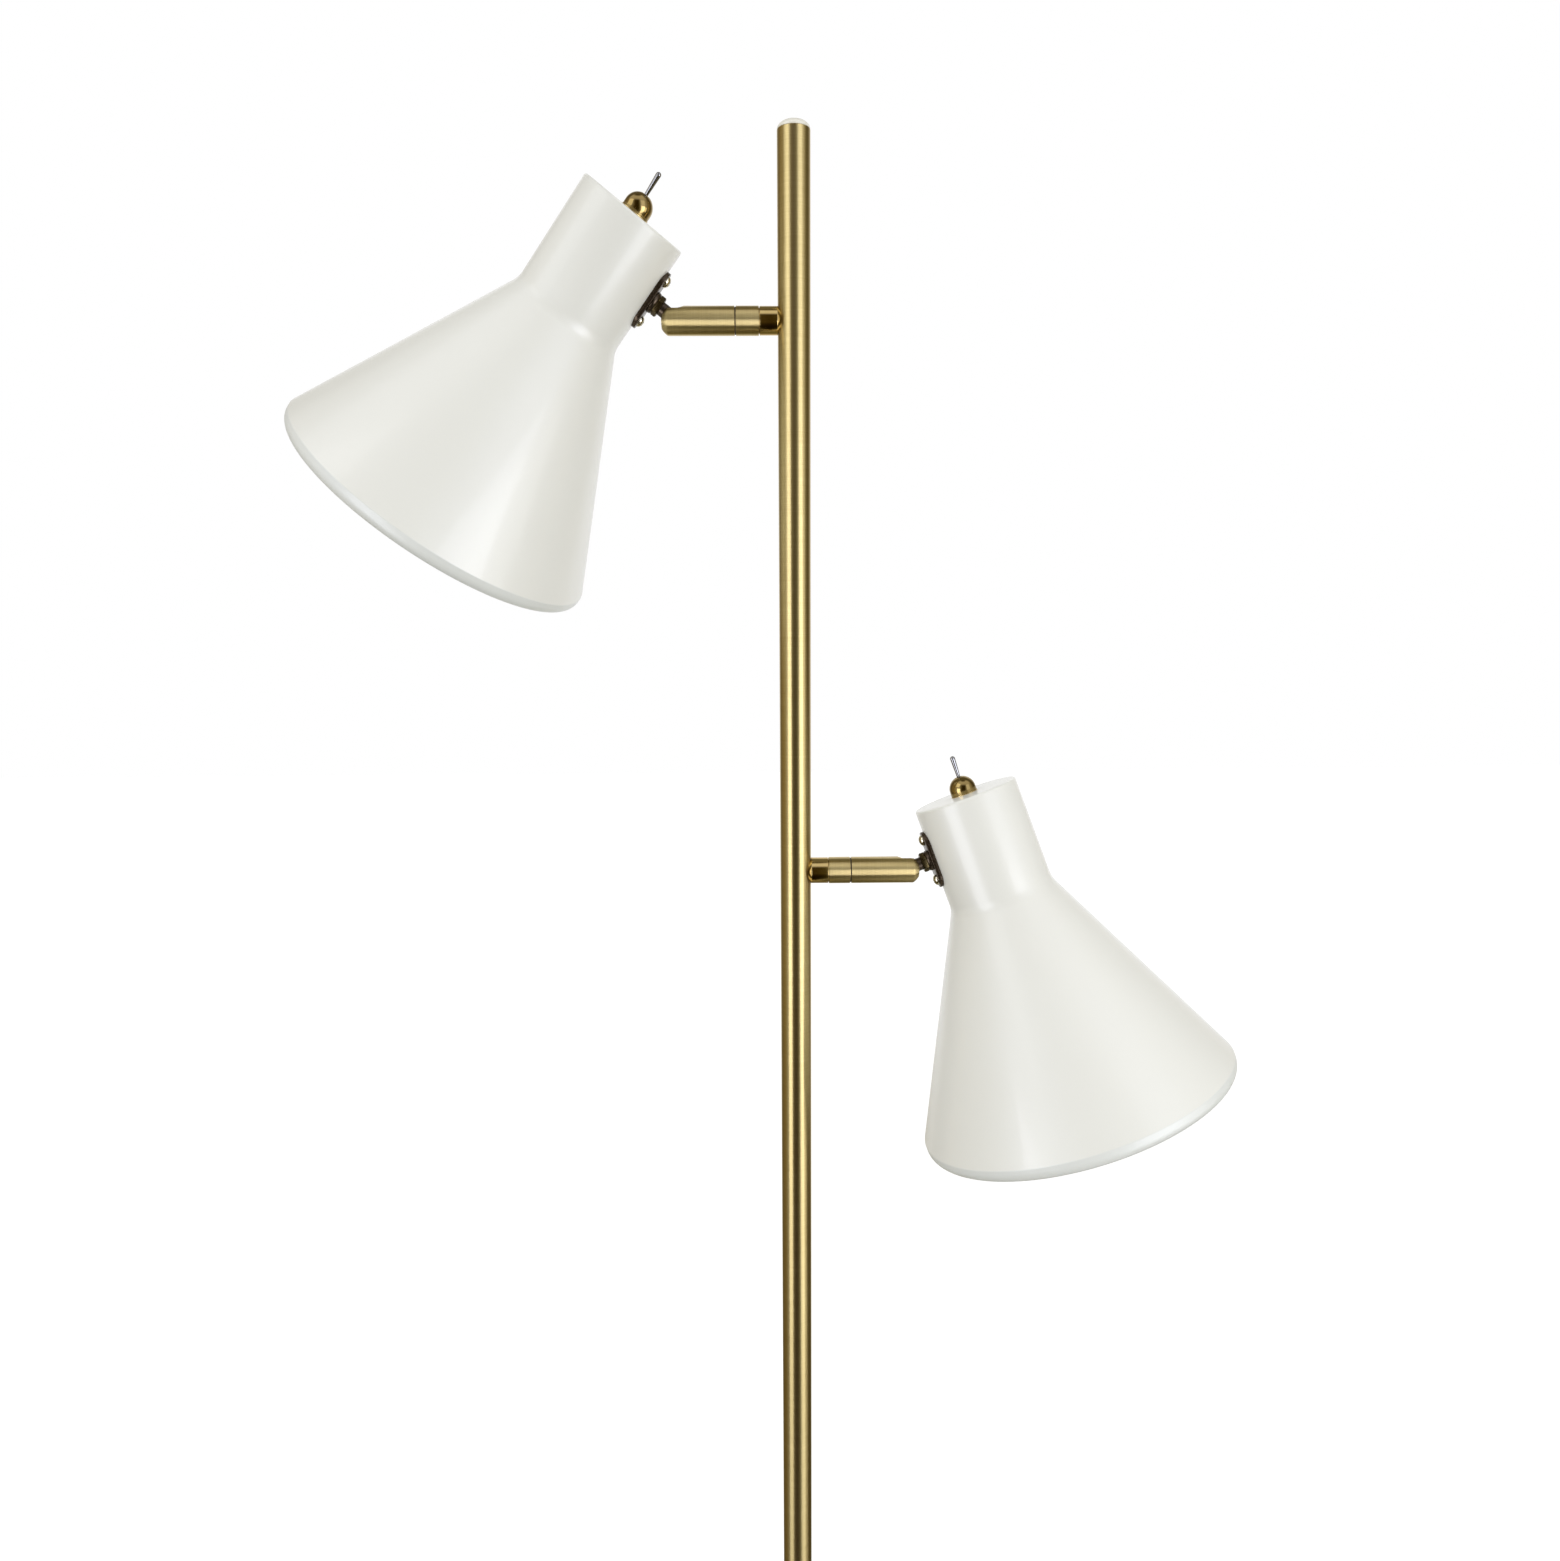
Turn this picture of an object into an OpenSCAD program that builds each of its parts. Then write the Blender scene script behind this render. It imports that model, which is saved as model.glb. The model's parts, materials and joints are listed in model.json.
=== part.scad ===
// Two-headed reading floor lamp: a slim brass pole on a weighted round foot, with two
// arms that each carry a cone shade on a ball swivel. The floor is z = 0, the pole is
// the Z axis, the right arm points along +X and the left arm along -X.

/* [Pole] */
// Outside diameter of the pole tubes
pole_d = 16; // [15:1:18]
// Wall thickness of the pole tubes
pole_wall = 1.2; // [1:0.1:1.4]
// Height of the upper tube's top edge above the floor
pole_top = 1495; // [1300:5:1700]
// Length of the upper tube
upper_tube_l = 800; // [600:10:900]
// Rise of the domed cap above the tube
cap_rise = 4.4; // [3:0.1:7]

/* [Foot] */
// Diameter of the spun foot cover
foot_d = 240; // [200:5:300]
// Height of the foot cover's straight rim
foot_rim_h = 10; // [8:0.5:14]
// Thickness of the cast weight
weight_t = 14; // [12:1:16]
// Thickness of the soft pad under the foot
pad_t = 2; // [1.5:0.5:4]

/* [Arms] */
// Outside diameter of the arm barrels and rings
arm_d = 13.8; // [13.8:0.1:15]
// Drop of the left arm below the top edge of the pole
left_arm_drop = 86.5; // [60:0.5:200]
// Drop of the right arm below the top edge of the pole
right_arm_drop = 361; // [300:0.5:500]
// Distance from the pole's axis to the centre of each ball
ball_x = 57.5; // [55:0.5:65]
// Diameter of the swivel ball
ball_d = 11.9; // [11.8:0.05:11.9]
// Width of the slot that the stem rises through
slot_w = 7.4; // [7.4:0.1:8]

/* [Heads] */
// Turn of the left barrel about its arm
left_spin = -11; // [-90:1:90]
// Turn of the right barrel about its arm
right_spin = -12; // [-90:1:90]
// Rise of the left stem above its arm
left_tilt = 38; // [0:1:75]
// Rise of the right stem above its arm
right_tilt = 20; // [0:1:75]
// Turn of the left head about its stem
left_twist = 2; // [-60:1:60]
// Turn of the right head about its stem
right_twist = -4; // [-60:1:60]
// Lean of the left switch lever, on one of its two throws
left_lever = -10; // [-10, 10]
// Lean of the right switch lever
right_lever = 10; // [-10, 10]

/* [Shade] */
// Outside diameter of the shade's neck
neck_d = 55; // [52:1:60]
// Height of the shade's neck
neck_h = 56; // [50:1:60]
// Outside diameter of the shade's mouth
mouth_d = 167; // [150:1:180]
// Height of the whole shade
shade_h = 176; // [170:1:190]
// Radius of the rolled lip
lip_r = 5.4; // [4:0.2:7]
// Sheet thickness of the shade
shade_t = 0.9; // [0.7:0.1:1.2]
// Drop of the stem below the lid
stem_drop = 26.2; // [25:0.2:30]

/* [Hidden] */
$fn = 64;

// How far a cutting shape runs past the solid that it cuts
past = 1;
// Clearance of a spigot or screw in its hole, and of a face that turns on another
fit_gap = 0.05;
face_gap = 0.1;

// Pole
pole_r = pole_d / 2;
pole_in = pole_r - pole_wall;
plug_r = pole_in - fit_gap;
joint_z = pole_top - upper_tube_l;
lead_r = 2.4;
coupler_l = 50;
cap_spigot_l = 10;
cap_edge = 0.3;

// Threaded tube that holds each arm on the pole
nipple_r = 4;
nipple_bore = 2.9;
nipple_start = 3;
nipple_end = 34.2;
insert_flat = 2.7;
insert_h = 16;

// Arm, measured from the pole's axis
arm_r = arm_d / 2;
base_r = arm_r - 0.15;
base_edge = pole_r + 0.2;
base_slope = 0.8;
base_end = 16.9;
ring_start = 17.2;
ring_end = 28.4;
washer_r = 6.4;
barrel_start = 29;
barrel_back = 31.5;
edge = 0.35;
barrel_nut_start = barrel_back + 0.2;
barrel_nut_t = 3;
barrel_nut_r = 5.4;

// Ball swivel, measured from the ball's centre
ball_r = ball_d / 2;
seat_r = ball_r + 0.1;
slot_r = slot_w / 2;
slot_back = 53.4;
nose_r = 8;
nose_angle = asin(arm_r / nose_r);
nose_corner = 3;
mouth_angle = asin((slot_r + 0.2) / nose_r);
nose_start = ball_x + nose_r * cos(nose_angle);
nose_end = ball_x + nose_r * cos(mouth_angle);
stem_r = 3.4;
spigot_r = 3;
stem_bore = 1.8;
seat_end = 55;
seat_bore = 4.4;
disc_count = 4;
disc_t = 0.5;
disc_rise = 0.35;
disc_pitch = disc_t + disc_rise + 0.02;
disc_start = barrel_nut_start + barrel_nut_t + face_gap;
seat_start = disc_start + disc_count * disc_pitch;
nut_start = 9.2;
nut_end = 11.8;
nut_flats = 9;
collar_start = nut_end + face_gap;
collar_r = 5.5;
collar_nose_r = 4.6;

// Side plate between the swivel and the shade's neck
neck_r = neck_d / 2;
plate_face = 14;
neck_face = 15.7;
plate_l = 30.6;
plate_w = 13;
plate_block = 3;
shade_x = neck_face + neck_r;
screw_pitch = 22;
screw_r = 1.5;
screw_head_r = 2.9;
screw_head_h = 2.1;
recess_w = 0.9;
recess_depth = 1;

// Shade
mouth_r = mouth_d / 2;
lip_top = shade_h - lip_r - 2.6;
lid_edge = 1.2;
bend_r = 14;
cone_angle = atan((mouth_r - neck_r) / (lip_top - neck_h));
bend_l = bend_r * tan(cone_angle / 2);
stem_hole_r = spigot_r + 0.2;

// Bracket, lampholder and bulb; depths are measured down from the lid
bracket_x = 17.5;
bracket_t = 1.5;
bracket_w = 12;
bracket_half = 15;
holder_top = stem_drop + bracket_half;
holder_l = 43;
holder_r = 19;
holder_bore = 13.6;
holder_nipple_r = 5;
bulb_mouth = holder_top + holder_l;
bulb_cap_r = 13.1;
bulb_r = 27.5;
bulb_neck_r = 12;
bulb_wall = 0.9;
bulb_centre = bulb_mouth + 42;
lock_start = bracket_x + bracket_t + face_gap;
lock_end = lock_start + 2.8;
stem_end = lock_end + 0.4;

// Toggle switch in the lid; heights are measured up from the lid
switch_l = 15;
switch_w = 11;
switch_h = 15;
bush_r = 4.2;
bush_top = 6.6;
bush_bore = 2.4;
lever_pivot = 5;
dome_r = 6.9;
dome_base = 0.5;
dome_side = 2.4;
dome_hole = 2;
lever_l = 16.3;
lever_ball_r = bush_bore - fit_gap;
lever_root_r = 0.9;
lever_tip_r = 1.3;

// Foot
foot_r = foot_d / 2;
foot_bend_r = 6;
foot_wall = 1.2;
foot_boss_r = 22;
foot_top = pad_t + foot_rim_h + foot_bend_r + 2;
weight_r = foot_r - foot_wall - 1.3;
weight_top = pad_t + weight_t;
foot_nipple_r = 5;
foot_nipple_bore = 3.5;
nut_pocket_r = 12;
nut_pocket_top = 10;
channel_w = 10;
channel_top = 12;
collar_h = 20;
gland_z = pad_t + 5;
gland_r = 4.7;
gland_bore = 3.3;
gland_flange_r = 4.9;
gland_l = 16;

// Points of an arc about [x, y], from angle a to angle b
function arc(x, y, r, a, b, n = 8) =
    [for (i = [0 : n]) [x + r * cos(a + (b - a) * i / n), y + r * sin(a + (b - a) * i / n)]];

function arm_z(side) = pole_top - (side == "left" ? left_arm_drop : right_arm_drop);
function tilt(side) = side == "left" ? left_tilt : right_tilt;
function spin(side) = side == "left" ? left_spin : right_spin;
function twist(side) = side == "left" ? left_twist : right_twist;
function lean(side) = side == "left" ? left_lever : right_lever;

// Places children that are drawn with the arm along +X from the pole's axis
module on_arm(side) {
    translate([0, 0, arm_z(side)])
        rotate([0, 0, side == "left" ? 180 : 0])
            children();
}

// As on_arm, turned about the arm with the slot of its barrel
module on_barrel(side) {
    on_arm(side)
        rotate([spin(side), 0, 0])
            children();
}

// Places children that are drawn with the ball at the origin, the stem along +X and
// the shade's axis along Z
module on_stem(side) {
    on_barrel(side)
        translate([ball_x, 0, 0])
            rotate([-twist(side), -tilt(side), 0])
                children();
}

// As on_stem, with the origin at the middle of the shade's lid
module on_lid(side) {
    on_stem(side)
        translate([shade_x, 0, stem_drop])
            children();
}

// Cylinder along +X from x = a to x = b
module rod_x(a, b, r) {
    translate([a, 0, 0])
        rotate([0, 90, 0])
            cylinder(h = b - a, r = r);
}

// Body of revolution about X; points are [distance from the axis, x]
module turned_x(points) {
    rotate([0, 90, 0])
        rotate_extrude()
            polygon(points);
}

// Six-sided prism along +X, with its corners up and down
module hex_x(a, b, flats) {
    translate([a, 0, 0])
        rotate([0, 90, 0])
            cylinder(h = b - a, d = flats / cos(30), $fn = 6);
}

// ---- Pole ----

module pole_cap() {
    dome = [for (a = [0 : 11.25 : 90]) [pole_r * cos(a), cap_edge + (cap_rise - cap_edge) * sin(a)]];
    color([0.80, 0.70, 0.45])
        translate([0, 0, pole_top])
            rotate_extrude()
                polygon(concat([[0, -cap_spigot_l], [plug_r, -cap_spigot_l], [plug_r, 0], [pole_r, 0]], dome));
}

module pole_tube(z0, z1) {
    translate([0, 0, z0])
        difference() {
            cylinder(h = z1 - z0, r = pole_r);
            translate([0, 0, -past])
                cylinder(h = z1 - z0 + 2 * past, r = pole_in);
        }
}

module upper_pole() {
    color([0.66, 0.55, 0.33])
        difference() {
            pole_tube(joint_z, pole_top);
            for (side = ["left", "right"])
                on_arm(side)
                    rod_x(0, pole_r + past, nipple_r + fit_gap);
        }
}

module lower_pole() {
    color([0.66, 0.55, 0.33])
        pole_tube(foot_top, joint_z);
}

module pole_coupler() {
    color([0.72, 0.62, 0.38])
        translate([0, 0, joint_z - coupler_l / 2])
            difference() {
                cylinder(h = coupler_l, r = plug_r);
                translate([0, 0, -past])
                    cylinder(h = coupler_l + 2 * past, r = foot_nipple_bore);
            }
}

// Sheathed leads that run up the middle of the pole to the upper arm
module pole_leads() {
    color([0.12, 0.12, 0.12])
        translate([0, 0, pad_t + 2])
            cylinder(h = arm_z("left") - insert_h / 2 - pad_t, r = lead_r);
}

// Tapped blocks inside the pole, one behind each arm
module pole_inserts() {
    color([0.55, 0.56, 0.58])
        for (side = ["left", "right"])
            on_arm(side)
                difference() {
                    intersection() {
                        translate([0, 0, -insert_h / 2])
                            cylinder(h = insert_h, r = plug_r);
                        translate([insert_flat, -pole_r, -insert_h])
                            cube([pole_r, pole_d, 2 * insert_h]);
                    }
                    rod_x(0, pole_r, nipple_r);
                }
}

module arm_nipples() {
    color([0.75, 0.65, 0.40])
        for (side = ["left", "right"])
            on_arm(side)
                difference() {
                    rod_x(nipple_start, nipple_end, nipple_r);
                    rod_x(nipple_start - past, nipple_end + past, nipple_bore);
                }
}

// ---- Arms ----

// Turned piece that saddles the pole, with a bevelled edge there
module arm_base(side) {
    bevel_l = (base_r - nipple_r - fit_gap) / base_slope;
    color([0.42, 0.30, 0.12])
        on_arm(side)
            difference() {
                turned_x([
                    [nipple_r + fit_gap, base_edge - bevel_l],
                    [base_r, base_edge],
                    [base_r, base_end - edge],
                    [base_r - edge, base_end],
                    [nipple_r + fit_gap, base_end]
                ]);
                translate([0, 0, -arm_d])
                    cylinder(h = 2 * arm_d, r = pole_r + fit_gap);
            }
}

module arm_ring(side) {
    color([0.68, 0.58, 0.34])
        on_arm(side)
            turned_x([
                [nipple_r + fit_gap, ring_start - 0.3],
                [base_r - 0.8, ring_start - 0.3],
                [base_r - 0.8, ring_start],
                [arm_r - edge, ring_start],
                [arm_r, ring_start + edge],
                [arm_r, ring_end - edge],
                [arm_r - edge, ring_end],
                [nipple_r + fit_gap, ring_end]
            ]);
}

// Dark washers that the barrels turn against
module friction_washers() {
    color([0.10, 0.08, 0.06])
        for (side = ["left", "right"])
            on_arm(side)
                turned_x([
                    [nipple_r + fit_gap, ring_end],
                    [washer_r, ring_end],
                    [washer_r, barrel_start - face_gap],
                    [nipple_r + fit_gap, barrel_start - face_gap]
                ]);
}

// Round nuts on the threaded tubes, inside the barrels
module barrel_nuts() {
    color([0.75, 0.65, 0.40])
        for (side = ["left", "right"])
            on_arm(side)
                difference() {
                    rod_x(barrel_nut_start, barrel_nut_start + barrel_nut_t, barrel_nut_r);
                    rod_x(0, nipple_end + past, nipple_r);
                    translate([barrel_nut_start + barrel_nut_t - 1, -0.6, -arm_r])
                        cube([2, 1.2, arm_d]);
                }
}

// Slotted barrel: the ball seats in its rounded nose, and the stem rises in the slot
module barrel(side) {
    nose = [for (a = arc(0, 0, nose_r, nose_angle - nose_corner, mouth_angle, 6)) [a[1], ball_x + a[0]]];
    slot_end = slot_back + slot_r;
    color([0.68, 0.58, 0.34])
        on_barrel(side)
            difference() {
                turned_x(concat(
                    [
                        [nipple_r + fit_gap, barrel_start],
                        [arm_r - edge, barrel_start],
                        [arm_r, barrel_start + edge],
                        [arm_r, nose_start - edge]
                    ],
                    nose,
                    [
                        [slot_r, nose_end],
                        [slot_r, ball_x],
                        [seat_r, ball_x],
                        [seat_r, barrel_back],
                        [nipple_r + fit_gap, barrel_back]
                    ]
                ));
                translate([ball_x, 0, 0])
                    sphere(r = seat_r);
                translate([slot_end, -slot_r, 0])
                    cube([nose_end + past - slot_end, slot_w, arm_d]);
                translate([slot_end, 0, 0])
                    cylinder(h = arm_d, r = slot_r);
            }
}

// Stack of conical disc springs that press the seat on the ball
module disc_springs(side) {
    disc_in = nipple_r + 0.4;
    disc_out = seat_r - 0.4;
    color([0.62, 0.63, 0.66])
        on_barrel(side)
            for (i = [0 : disc_count - 1]) {
                rise_in = i % 2 == 0 ? disc_rise : 0;
                rise_out = disc_rise - rise_in;
                x = disc_start + i * disc_pitch;
                turned_x([
                    [disc_in, x + rise_in],
                    [disc_out, x + rise_out],
                    [disc_out, x + rise_out + disc_t],
                    [disc_in, x + rise_in + disc_t]
                ]);
            }
}

// Sleeve with a round cup, behind the ball
module ball_seat(side) {
    color([0.75, 0.65, 0.40])
        on_barrel(side)
            difference() {
                rod_x(seat_start, seat_end, seat_r - 0.1);
                rod_x(seat_start - past, seat_end + past, seat_bore);
                translate([ball_x, 0, 0])
                    sphere(r = seat_r);
            }
}

// ---- Swivels ----

// Ball and hollow stem in one turned piece
module ball_stem(side) {
    color([0.16, 0.11, 0.08])
        on_stem(side)
            difference() {
                union() {
                    sphere(r = ball_r);
                    rod_x(0, nut_start, stem_r);
                    rod_x(nut_start - past, stem_end, spigot_r);
                }
                rod_x(-ball_d, stem_end + past, stem_bore);
                translate([-ball_r - past, 0, 0])
                    rotate([0, 90, 0])
                        cylinder(h = 4.5, r1 = 4.4, r2 = stem_bore);
            }
}

module stem_nut(side) {
    color([0.40, 0.34, 0.12])
        on_stem(side)
            difference() {
                intersection() {
                    hex_x(nut_start, nut_end, nut_flats);
                    turned_x([
                        [0, nut_start],
                        [nut_flats / 2, nut_start],
                        [nut_flats / 2 + 0.8, nut_start + 0.5],
                        [nut_flats / 2 + 0.8, nut_end],
                        [0, nut_end]
                    ]);
                }
                rod_x(0, nut_end + past, spigot_r);
            }
}

// Thin nut inside the neck that keeps the head on its stem
module lock_nut(side) {
    color([0.70, 0.60, 0.36])
        on_stem(side)
            difference() {
                hex_x(lock_start, lock_end, nut_flats);
                rod_x(lock_start - past, lock_end + past, spigot_r);
            }
}

// Domed collar between the nut and the side plate
module stem_collar(side) {
    collar_l = plate_face - collar_start;
    bulge = [
        for (a = [0 : 15 : 90])
            [collar_nose_r + (collar_r - collar_nose_r) * sin(a), collar_start + collar_l * 0.8 * (1 - cos(a))]
    ];
    color([0.20, 0.13, 0.09])
        on_stem(side)
            turned_x(concat(
                [[spigot_r + fit_gap, collar_start]],
                bulge,
                [[collar_r, plate_face], [spigot_r + fit_gap, plate_face]]
            ));
}

// ---- Heads ----

// Flat-fronted plate with rounded ends and a hollow back that fits the neck
module side_plate(side) {
    end_r = plate_w / 2;
    color([0.25, 0.24, 0.18])
        on_stem(side)
            difference() {
                translate([plate_face, 0, 0])
                    rotate([0, 90, 0])
                        linear_extrude(height = plate_block) {
                            square([plate_l - plate_w, plate_w], center = true);
                            for (end = [-1, 1])
                                translate([end * (plate_l / 2 - end_r), 0])
                                    circle(r = end_r);
                        }
                translate([shade_x, 0, -plate_l])
                    cylinder(h = 2 * plate_l, r = neck_r);
                rod_x(0, shade_x, stem_hole_r);
                for (end = [-1, 1])
                    translate([0, 0, end * screw_pitch / 2])
                        rod_x(0, shade_x, screw_r + fit_gap);
            }
}

// Two pan-head screws that hold the plate, the neck and the bracket together
module plate_screws(side) {
    head = arc(0, 0, screw_head_r, 0, 90, 6);
    color([0.78, 0.76, 0.66])
        on_stem(side)
            for (end = [-1, 1])
                translate([plate_face, 0, end * screw_pitch / 2])
                    difference() {
                        turned_x(concat(
                            [[0, bracket_x + bracket_t + 1 - plate_face], [screw_r, bracket_x + bracket_t + 1 - plate_face]],
                            [[screw_r, 0]],
                            [for (p = head) [p[0], -p[1] * screw_head_h / screw_head_r]]
                        ));
                        rotate([45, 0, 0]) {
                            translate([-screw_head_h - past, -recess_w / 2, -1.7])
                                cube([recess_depth + past, recess_w, 3.4]);
                            translate([-screw_head_h - past, -1.7, -recess_w / 2])
                                cube([recess_depth + past, 3.4, recess_w]);
                        }
                    }
}

// Half section of the spun shade, outside first: lid, neck, cone and rolled lip
function shade_section() =
    let (
        t = shade_t,
        tc = shade_t / cos(cone_angle),
        bend_x = neck_r + bend_r,
        lip_x = mouth_r - lip_r,
        lip_y = lip_r - shade_h
    )
    concat(
        [[0, 0]],
        arc(neck_r - lid_edge, -lid_edge, lid_edge, 90, 0, 4),
        arc(bend_x, -neck_h + bend_l, bend_r, 180, 180 + cone_angle, 5),
        [[mouth_r - 0.3, -lip_top], [mouth_r, -lip_top - 0.7]],
        arc(lip_x, lip_y, lip_r, 0, -90, 8),
        [[lip_x, lip_y - lip_r + t]],
        arc(lip_x, lip_y, lip_r - t, -90, 0, 8),
        [[mouth_r - t, -lip_top - 0.9], [mouth_r - 0.3 - tc, -lip_top]],
        arc(bend_x, -neck_h + bend_l, bend_r + t, 180 + cone_angle, 180, 5),
        arc(neck_r - lid_edge, -lid_edge, lid_edge - t, 0, 90, 1),
        [[0, -t]]
    );

module shade(side) {
    color([0.91, 0.91, 0.88])
        difference() {
            on_lid(side)
                rotate_extrude($fn = 96)
                    polygon(shade_section());
            on_lid(side)
                translate([0, 0, -shade_t - past])
                    cylinder(h = 2 * past + shade_t, r = bush_r + fit_gap);
            on_stem(side) {
                rod_x(0, shade_x, stem_hole_r);
                for (end = [-1, 1])
                    translate([0, 0, end * screw_pitch / 2])
                        rod_x(0, shade_x, screw_r + fit_gap);
            }
        }
}

// Angle bracket inside the neck that carries the lampholder
module holder_bracket(side) {
    tab_l = shade_x + 9 - bracket_x;
    color([0.70, 0.71, 0.73])
        on_stem(side)
            difference() {
                union() {
                    translate([bracket_x, -bracket_w / 2, -bracket_half])
                        cube([bracket_t, bracket_w, 2 * bracket_half]);
                    translate([bracket_x, -bracket_w / 2, -bracket_half])
                        cube([tab_l, bracket_w, bracket_t]);
                }
                rod_x(0, shade_x / 2, stem_hole_r);
                for (end = [-1, 1])
                    translate([0, 0, end * screw_pitch / 2])
                        rod_x(0, shade_x / 2, screw_r);
                translate([shade_x, 0, -2 * bracket_half])
                    cylinder(h = 2 * bracket_half, r = holder_nipple_r + fit_gap);
            }
}

// Screw lampholder with its threaded neck in the bracket
module lampholder(side) {
    top = -holder_top;
    mouth = -bulb_mouth;
    color([0.10, 0.10, 0.10])
        on_lid(side)
            rotate_extrude()
                polygon([
                    [0, top + 5],
                    [holder_nipple_r, top + 5],
                    [holder_nipple_r, top],
                    [10, top],
                    [15, top - 2],
                    [holder_r - 1, top - 7],
                    [holder_r - 1, top - 16],
                    [holder_r, top - 16.6],
                    [holder_r, mouth + 8],
                    [holder_r - 1.2, mouth + 7.4],
                    [holder_r - 1.2, mouth + 1],
                    [holder_r - 2.2, mouth],
                    [holder_bore + 0.6, mouth],
                    [holder_bore, mouth + 0.8],
                    [holder_bore, mouth + 27],
                    [0, mouth + 27]
                ]);
}

// Glass envelope, open at its neck
module bulb(side) {
    y0 = -bulb_mouth;
    yc = -bulb_centre;
    inner = bulb_r - bulb_wall;
    color([0.97, 0.96, 0.92])
        on_lid(side)
            rotate_extrude()
                polygon(concat(
                    [[bulb_neck_r, y0 + 1]],
                    [[bulb_neck_r, y0 - 2], [bulb_neck_r + 2.4, y0 - 9], [bulb_neck_r + 6.8, y0 - 18]],
                    arc(0, yc, bulb_r, 28, -90, 14),
                    arc(0, yc, inner, -90, 28, 14),
                    [
                        [bulb_neck_r + 6.8 - bulb_wall, y0 - 18 - 0.3],
                        [bulb_neck_r + 2.4 - bulb_wall, y0 - 9 - 0.3],
                        [bulb_neck_r - bulb_wall, y0 - 2 - 0.2],
                        [bulb_neck_r - bulb_wall, y0 + 1]
                    ]
                ));
}

// Screw cap of the bulb with its end contact
module bulb_cap(side) {
    y0 = -bulb_mouth;
    color([0.75, 0.76, 0.78])
        on_lid(side)
            rotate_extrude()
                polygon([
                    [0, y0 + 1],
                    [bulb_cap_r, y0 + 1],
                    [bulb_cap_r, y0 + 20],
                    [9, y0 + 23.5],
                    [4.5, y0 + 24],
                    [3.5, y0 + 26],
                    [0, y0 + 26.6]
                ]);
}

// ---- Switches ----

// Toggle switch under the lid, with its threaded bush through it
module toggle_body(side) {
    color([0.14, 0.14, 0.15])
        on_lid(side)
            difference() {
                union() {
                    translate([-switch_l / 2, -switch_w / 2, -shade_t - switch_h])
                        cube([switch_l, switch_w, switch_h]);
                    translate([0, 0, -shade_t - 2])
                        cylinder(h = bush_top + shade_t + 2, r = bush_r);
                    for (x = [-4.5, 4.5])
                        translate([x - 0.4, -2, -shade_t - switch_h - 4])
                            cube([0.8, 4, 5]);
                }
                translate([0, 0, lever_pivot - lever_ball_r - 0.4])
                    cylinder(h = bush_top, r = bush_bore);
            }
}

module toggle_washer(side) {
    color([0.72, 0.62, 0.38])
        on_lid(side)
            difference() {
                cylinder(h = dome_base, r = dome_r + 0.2);
                translate([0, 0, -past])
                    cylinder(h = dome_base + 2 * past, r = bush_r + fit_gap);
            }
}

// Domed nut over the bush, with a hole at its crown for the lever
module toggle_nut(side) {
    color([0.78, 0.62, 0.34])
        on_lid(side)
            difference() {
                union() {
                    translate([0, 0, dome_base])
                        cylinder(h = dome_side, r = dome_r);
                    translate([0, 0, dome_base + dome_side])
                        difference() {
                            sphere(r = dome_r);
                            translate([0, 0, -dome_r])
                                cube([2 * dome_r + past, 2 * dome_r + past, 2 * dome_r], center = true);
                        }
                }
                translate([0, 0, -past])
                    cylinder(h = bush_top + past + 0.3, r = bush_r + fit_gap);
                cylinder(h = 2 * dome_r, r = dome_hole);
            }
}

// Bat-shaped lever on its pivot ball
module toggle_lever(side) {
    tip = lever_l - lever_tip_r;
    color([0.80, 0.81, 0.83])
        on_lid(side)
            translate([0, 0, lever_pivot])
                rotate([lean(side), 0, 0]) {
                    sphere(r = lever_ball_r);
                    rotate_extrude()
                        polygon(concat(
                            [[0, 0], [lever_root_r, 0], [lever_root_r, 4]],
                            arc(0, tip, lever_tip_r, 0, 90, 6)
                        ));
                }
}

// Leads from the stem to the switch, and from the switch down to the lampholder
module head_leads(side) {
    turn_r = 8;
    drop_y = 8;
    wire_r = 1.1;
    rise_l = 12;
    color([0.90, 0.88, 0.82])
        on_stem(side) {
            rod_x(stem_end + 0.3, stem_end + 3, wire_r + 0.4);
            translate([stem_end + 3, 0, turn_r])
                rotate([90, 0, 0])
                    rotate([0, 0, -90])
                        rotate_extrude(angle = 90)
                            translate([turn_r, 0])
                                circle(r = wire_r + 0.4);
            translate([stem_end + 3 + turn_r, 0, turn_r])
                cylinder(h = rise_l, r = wire_r + 0.4);
            for (y = [-drop_y, drop_y])
                translate([shade_x - 3, y, -bracket_half])
                    cylinder(h = bracket_half + rise_l, r = wire_r);
        }
}

// ---- Foot ----

// Turned collar where the pole meets the foot
module foot_collar() {
    cove = [for (a = [0 : 15 : 90]) [11 + 7 * (1 - sin(a)), foot_top + 3 + (collar_h - 5) * (1 - cos(a))]];
    color([0.62, 0.52, 0.30])
        rotate_extrude()
            polygon(concat(
                [[pole_r + fit_gap, foot_top], [19, foot_top], [19, foot_top + 2], [18, foot_top + 3]],
                cove,
                [[11, foot_top + collar_h - 0.5], [10.5, foot_top + collar_h], [pole_r + fit_gap, foot_top + collar_h]]
            ));
}

module foot_plug() {
    color([0.72, 0.62, 0.38])
        translate([0, 0, foot_top])
            difference() {
                cylinder(h = 30, r = plug_r);
                translate([0, 0, -past])
                    cylinder(h = 30 + 2 * past, r = foot_nipple_r);
            }
}

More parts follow.
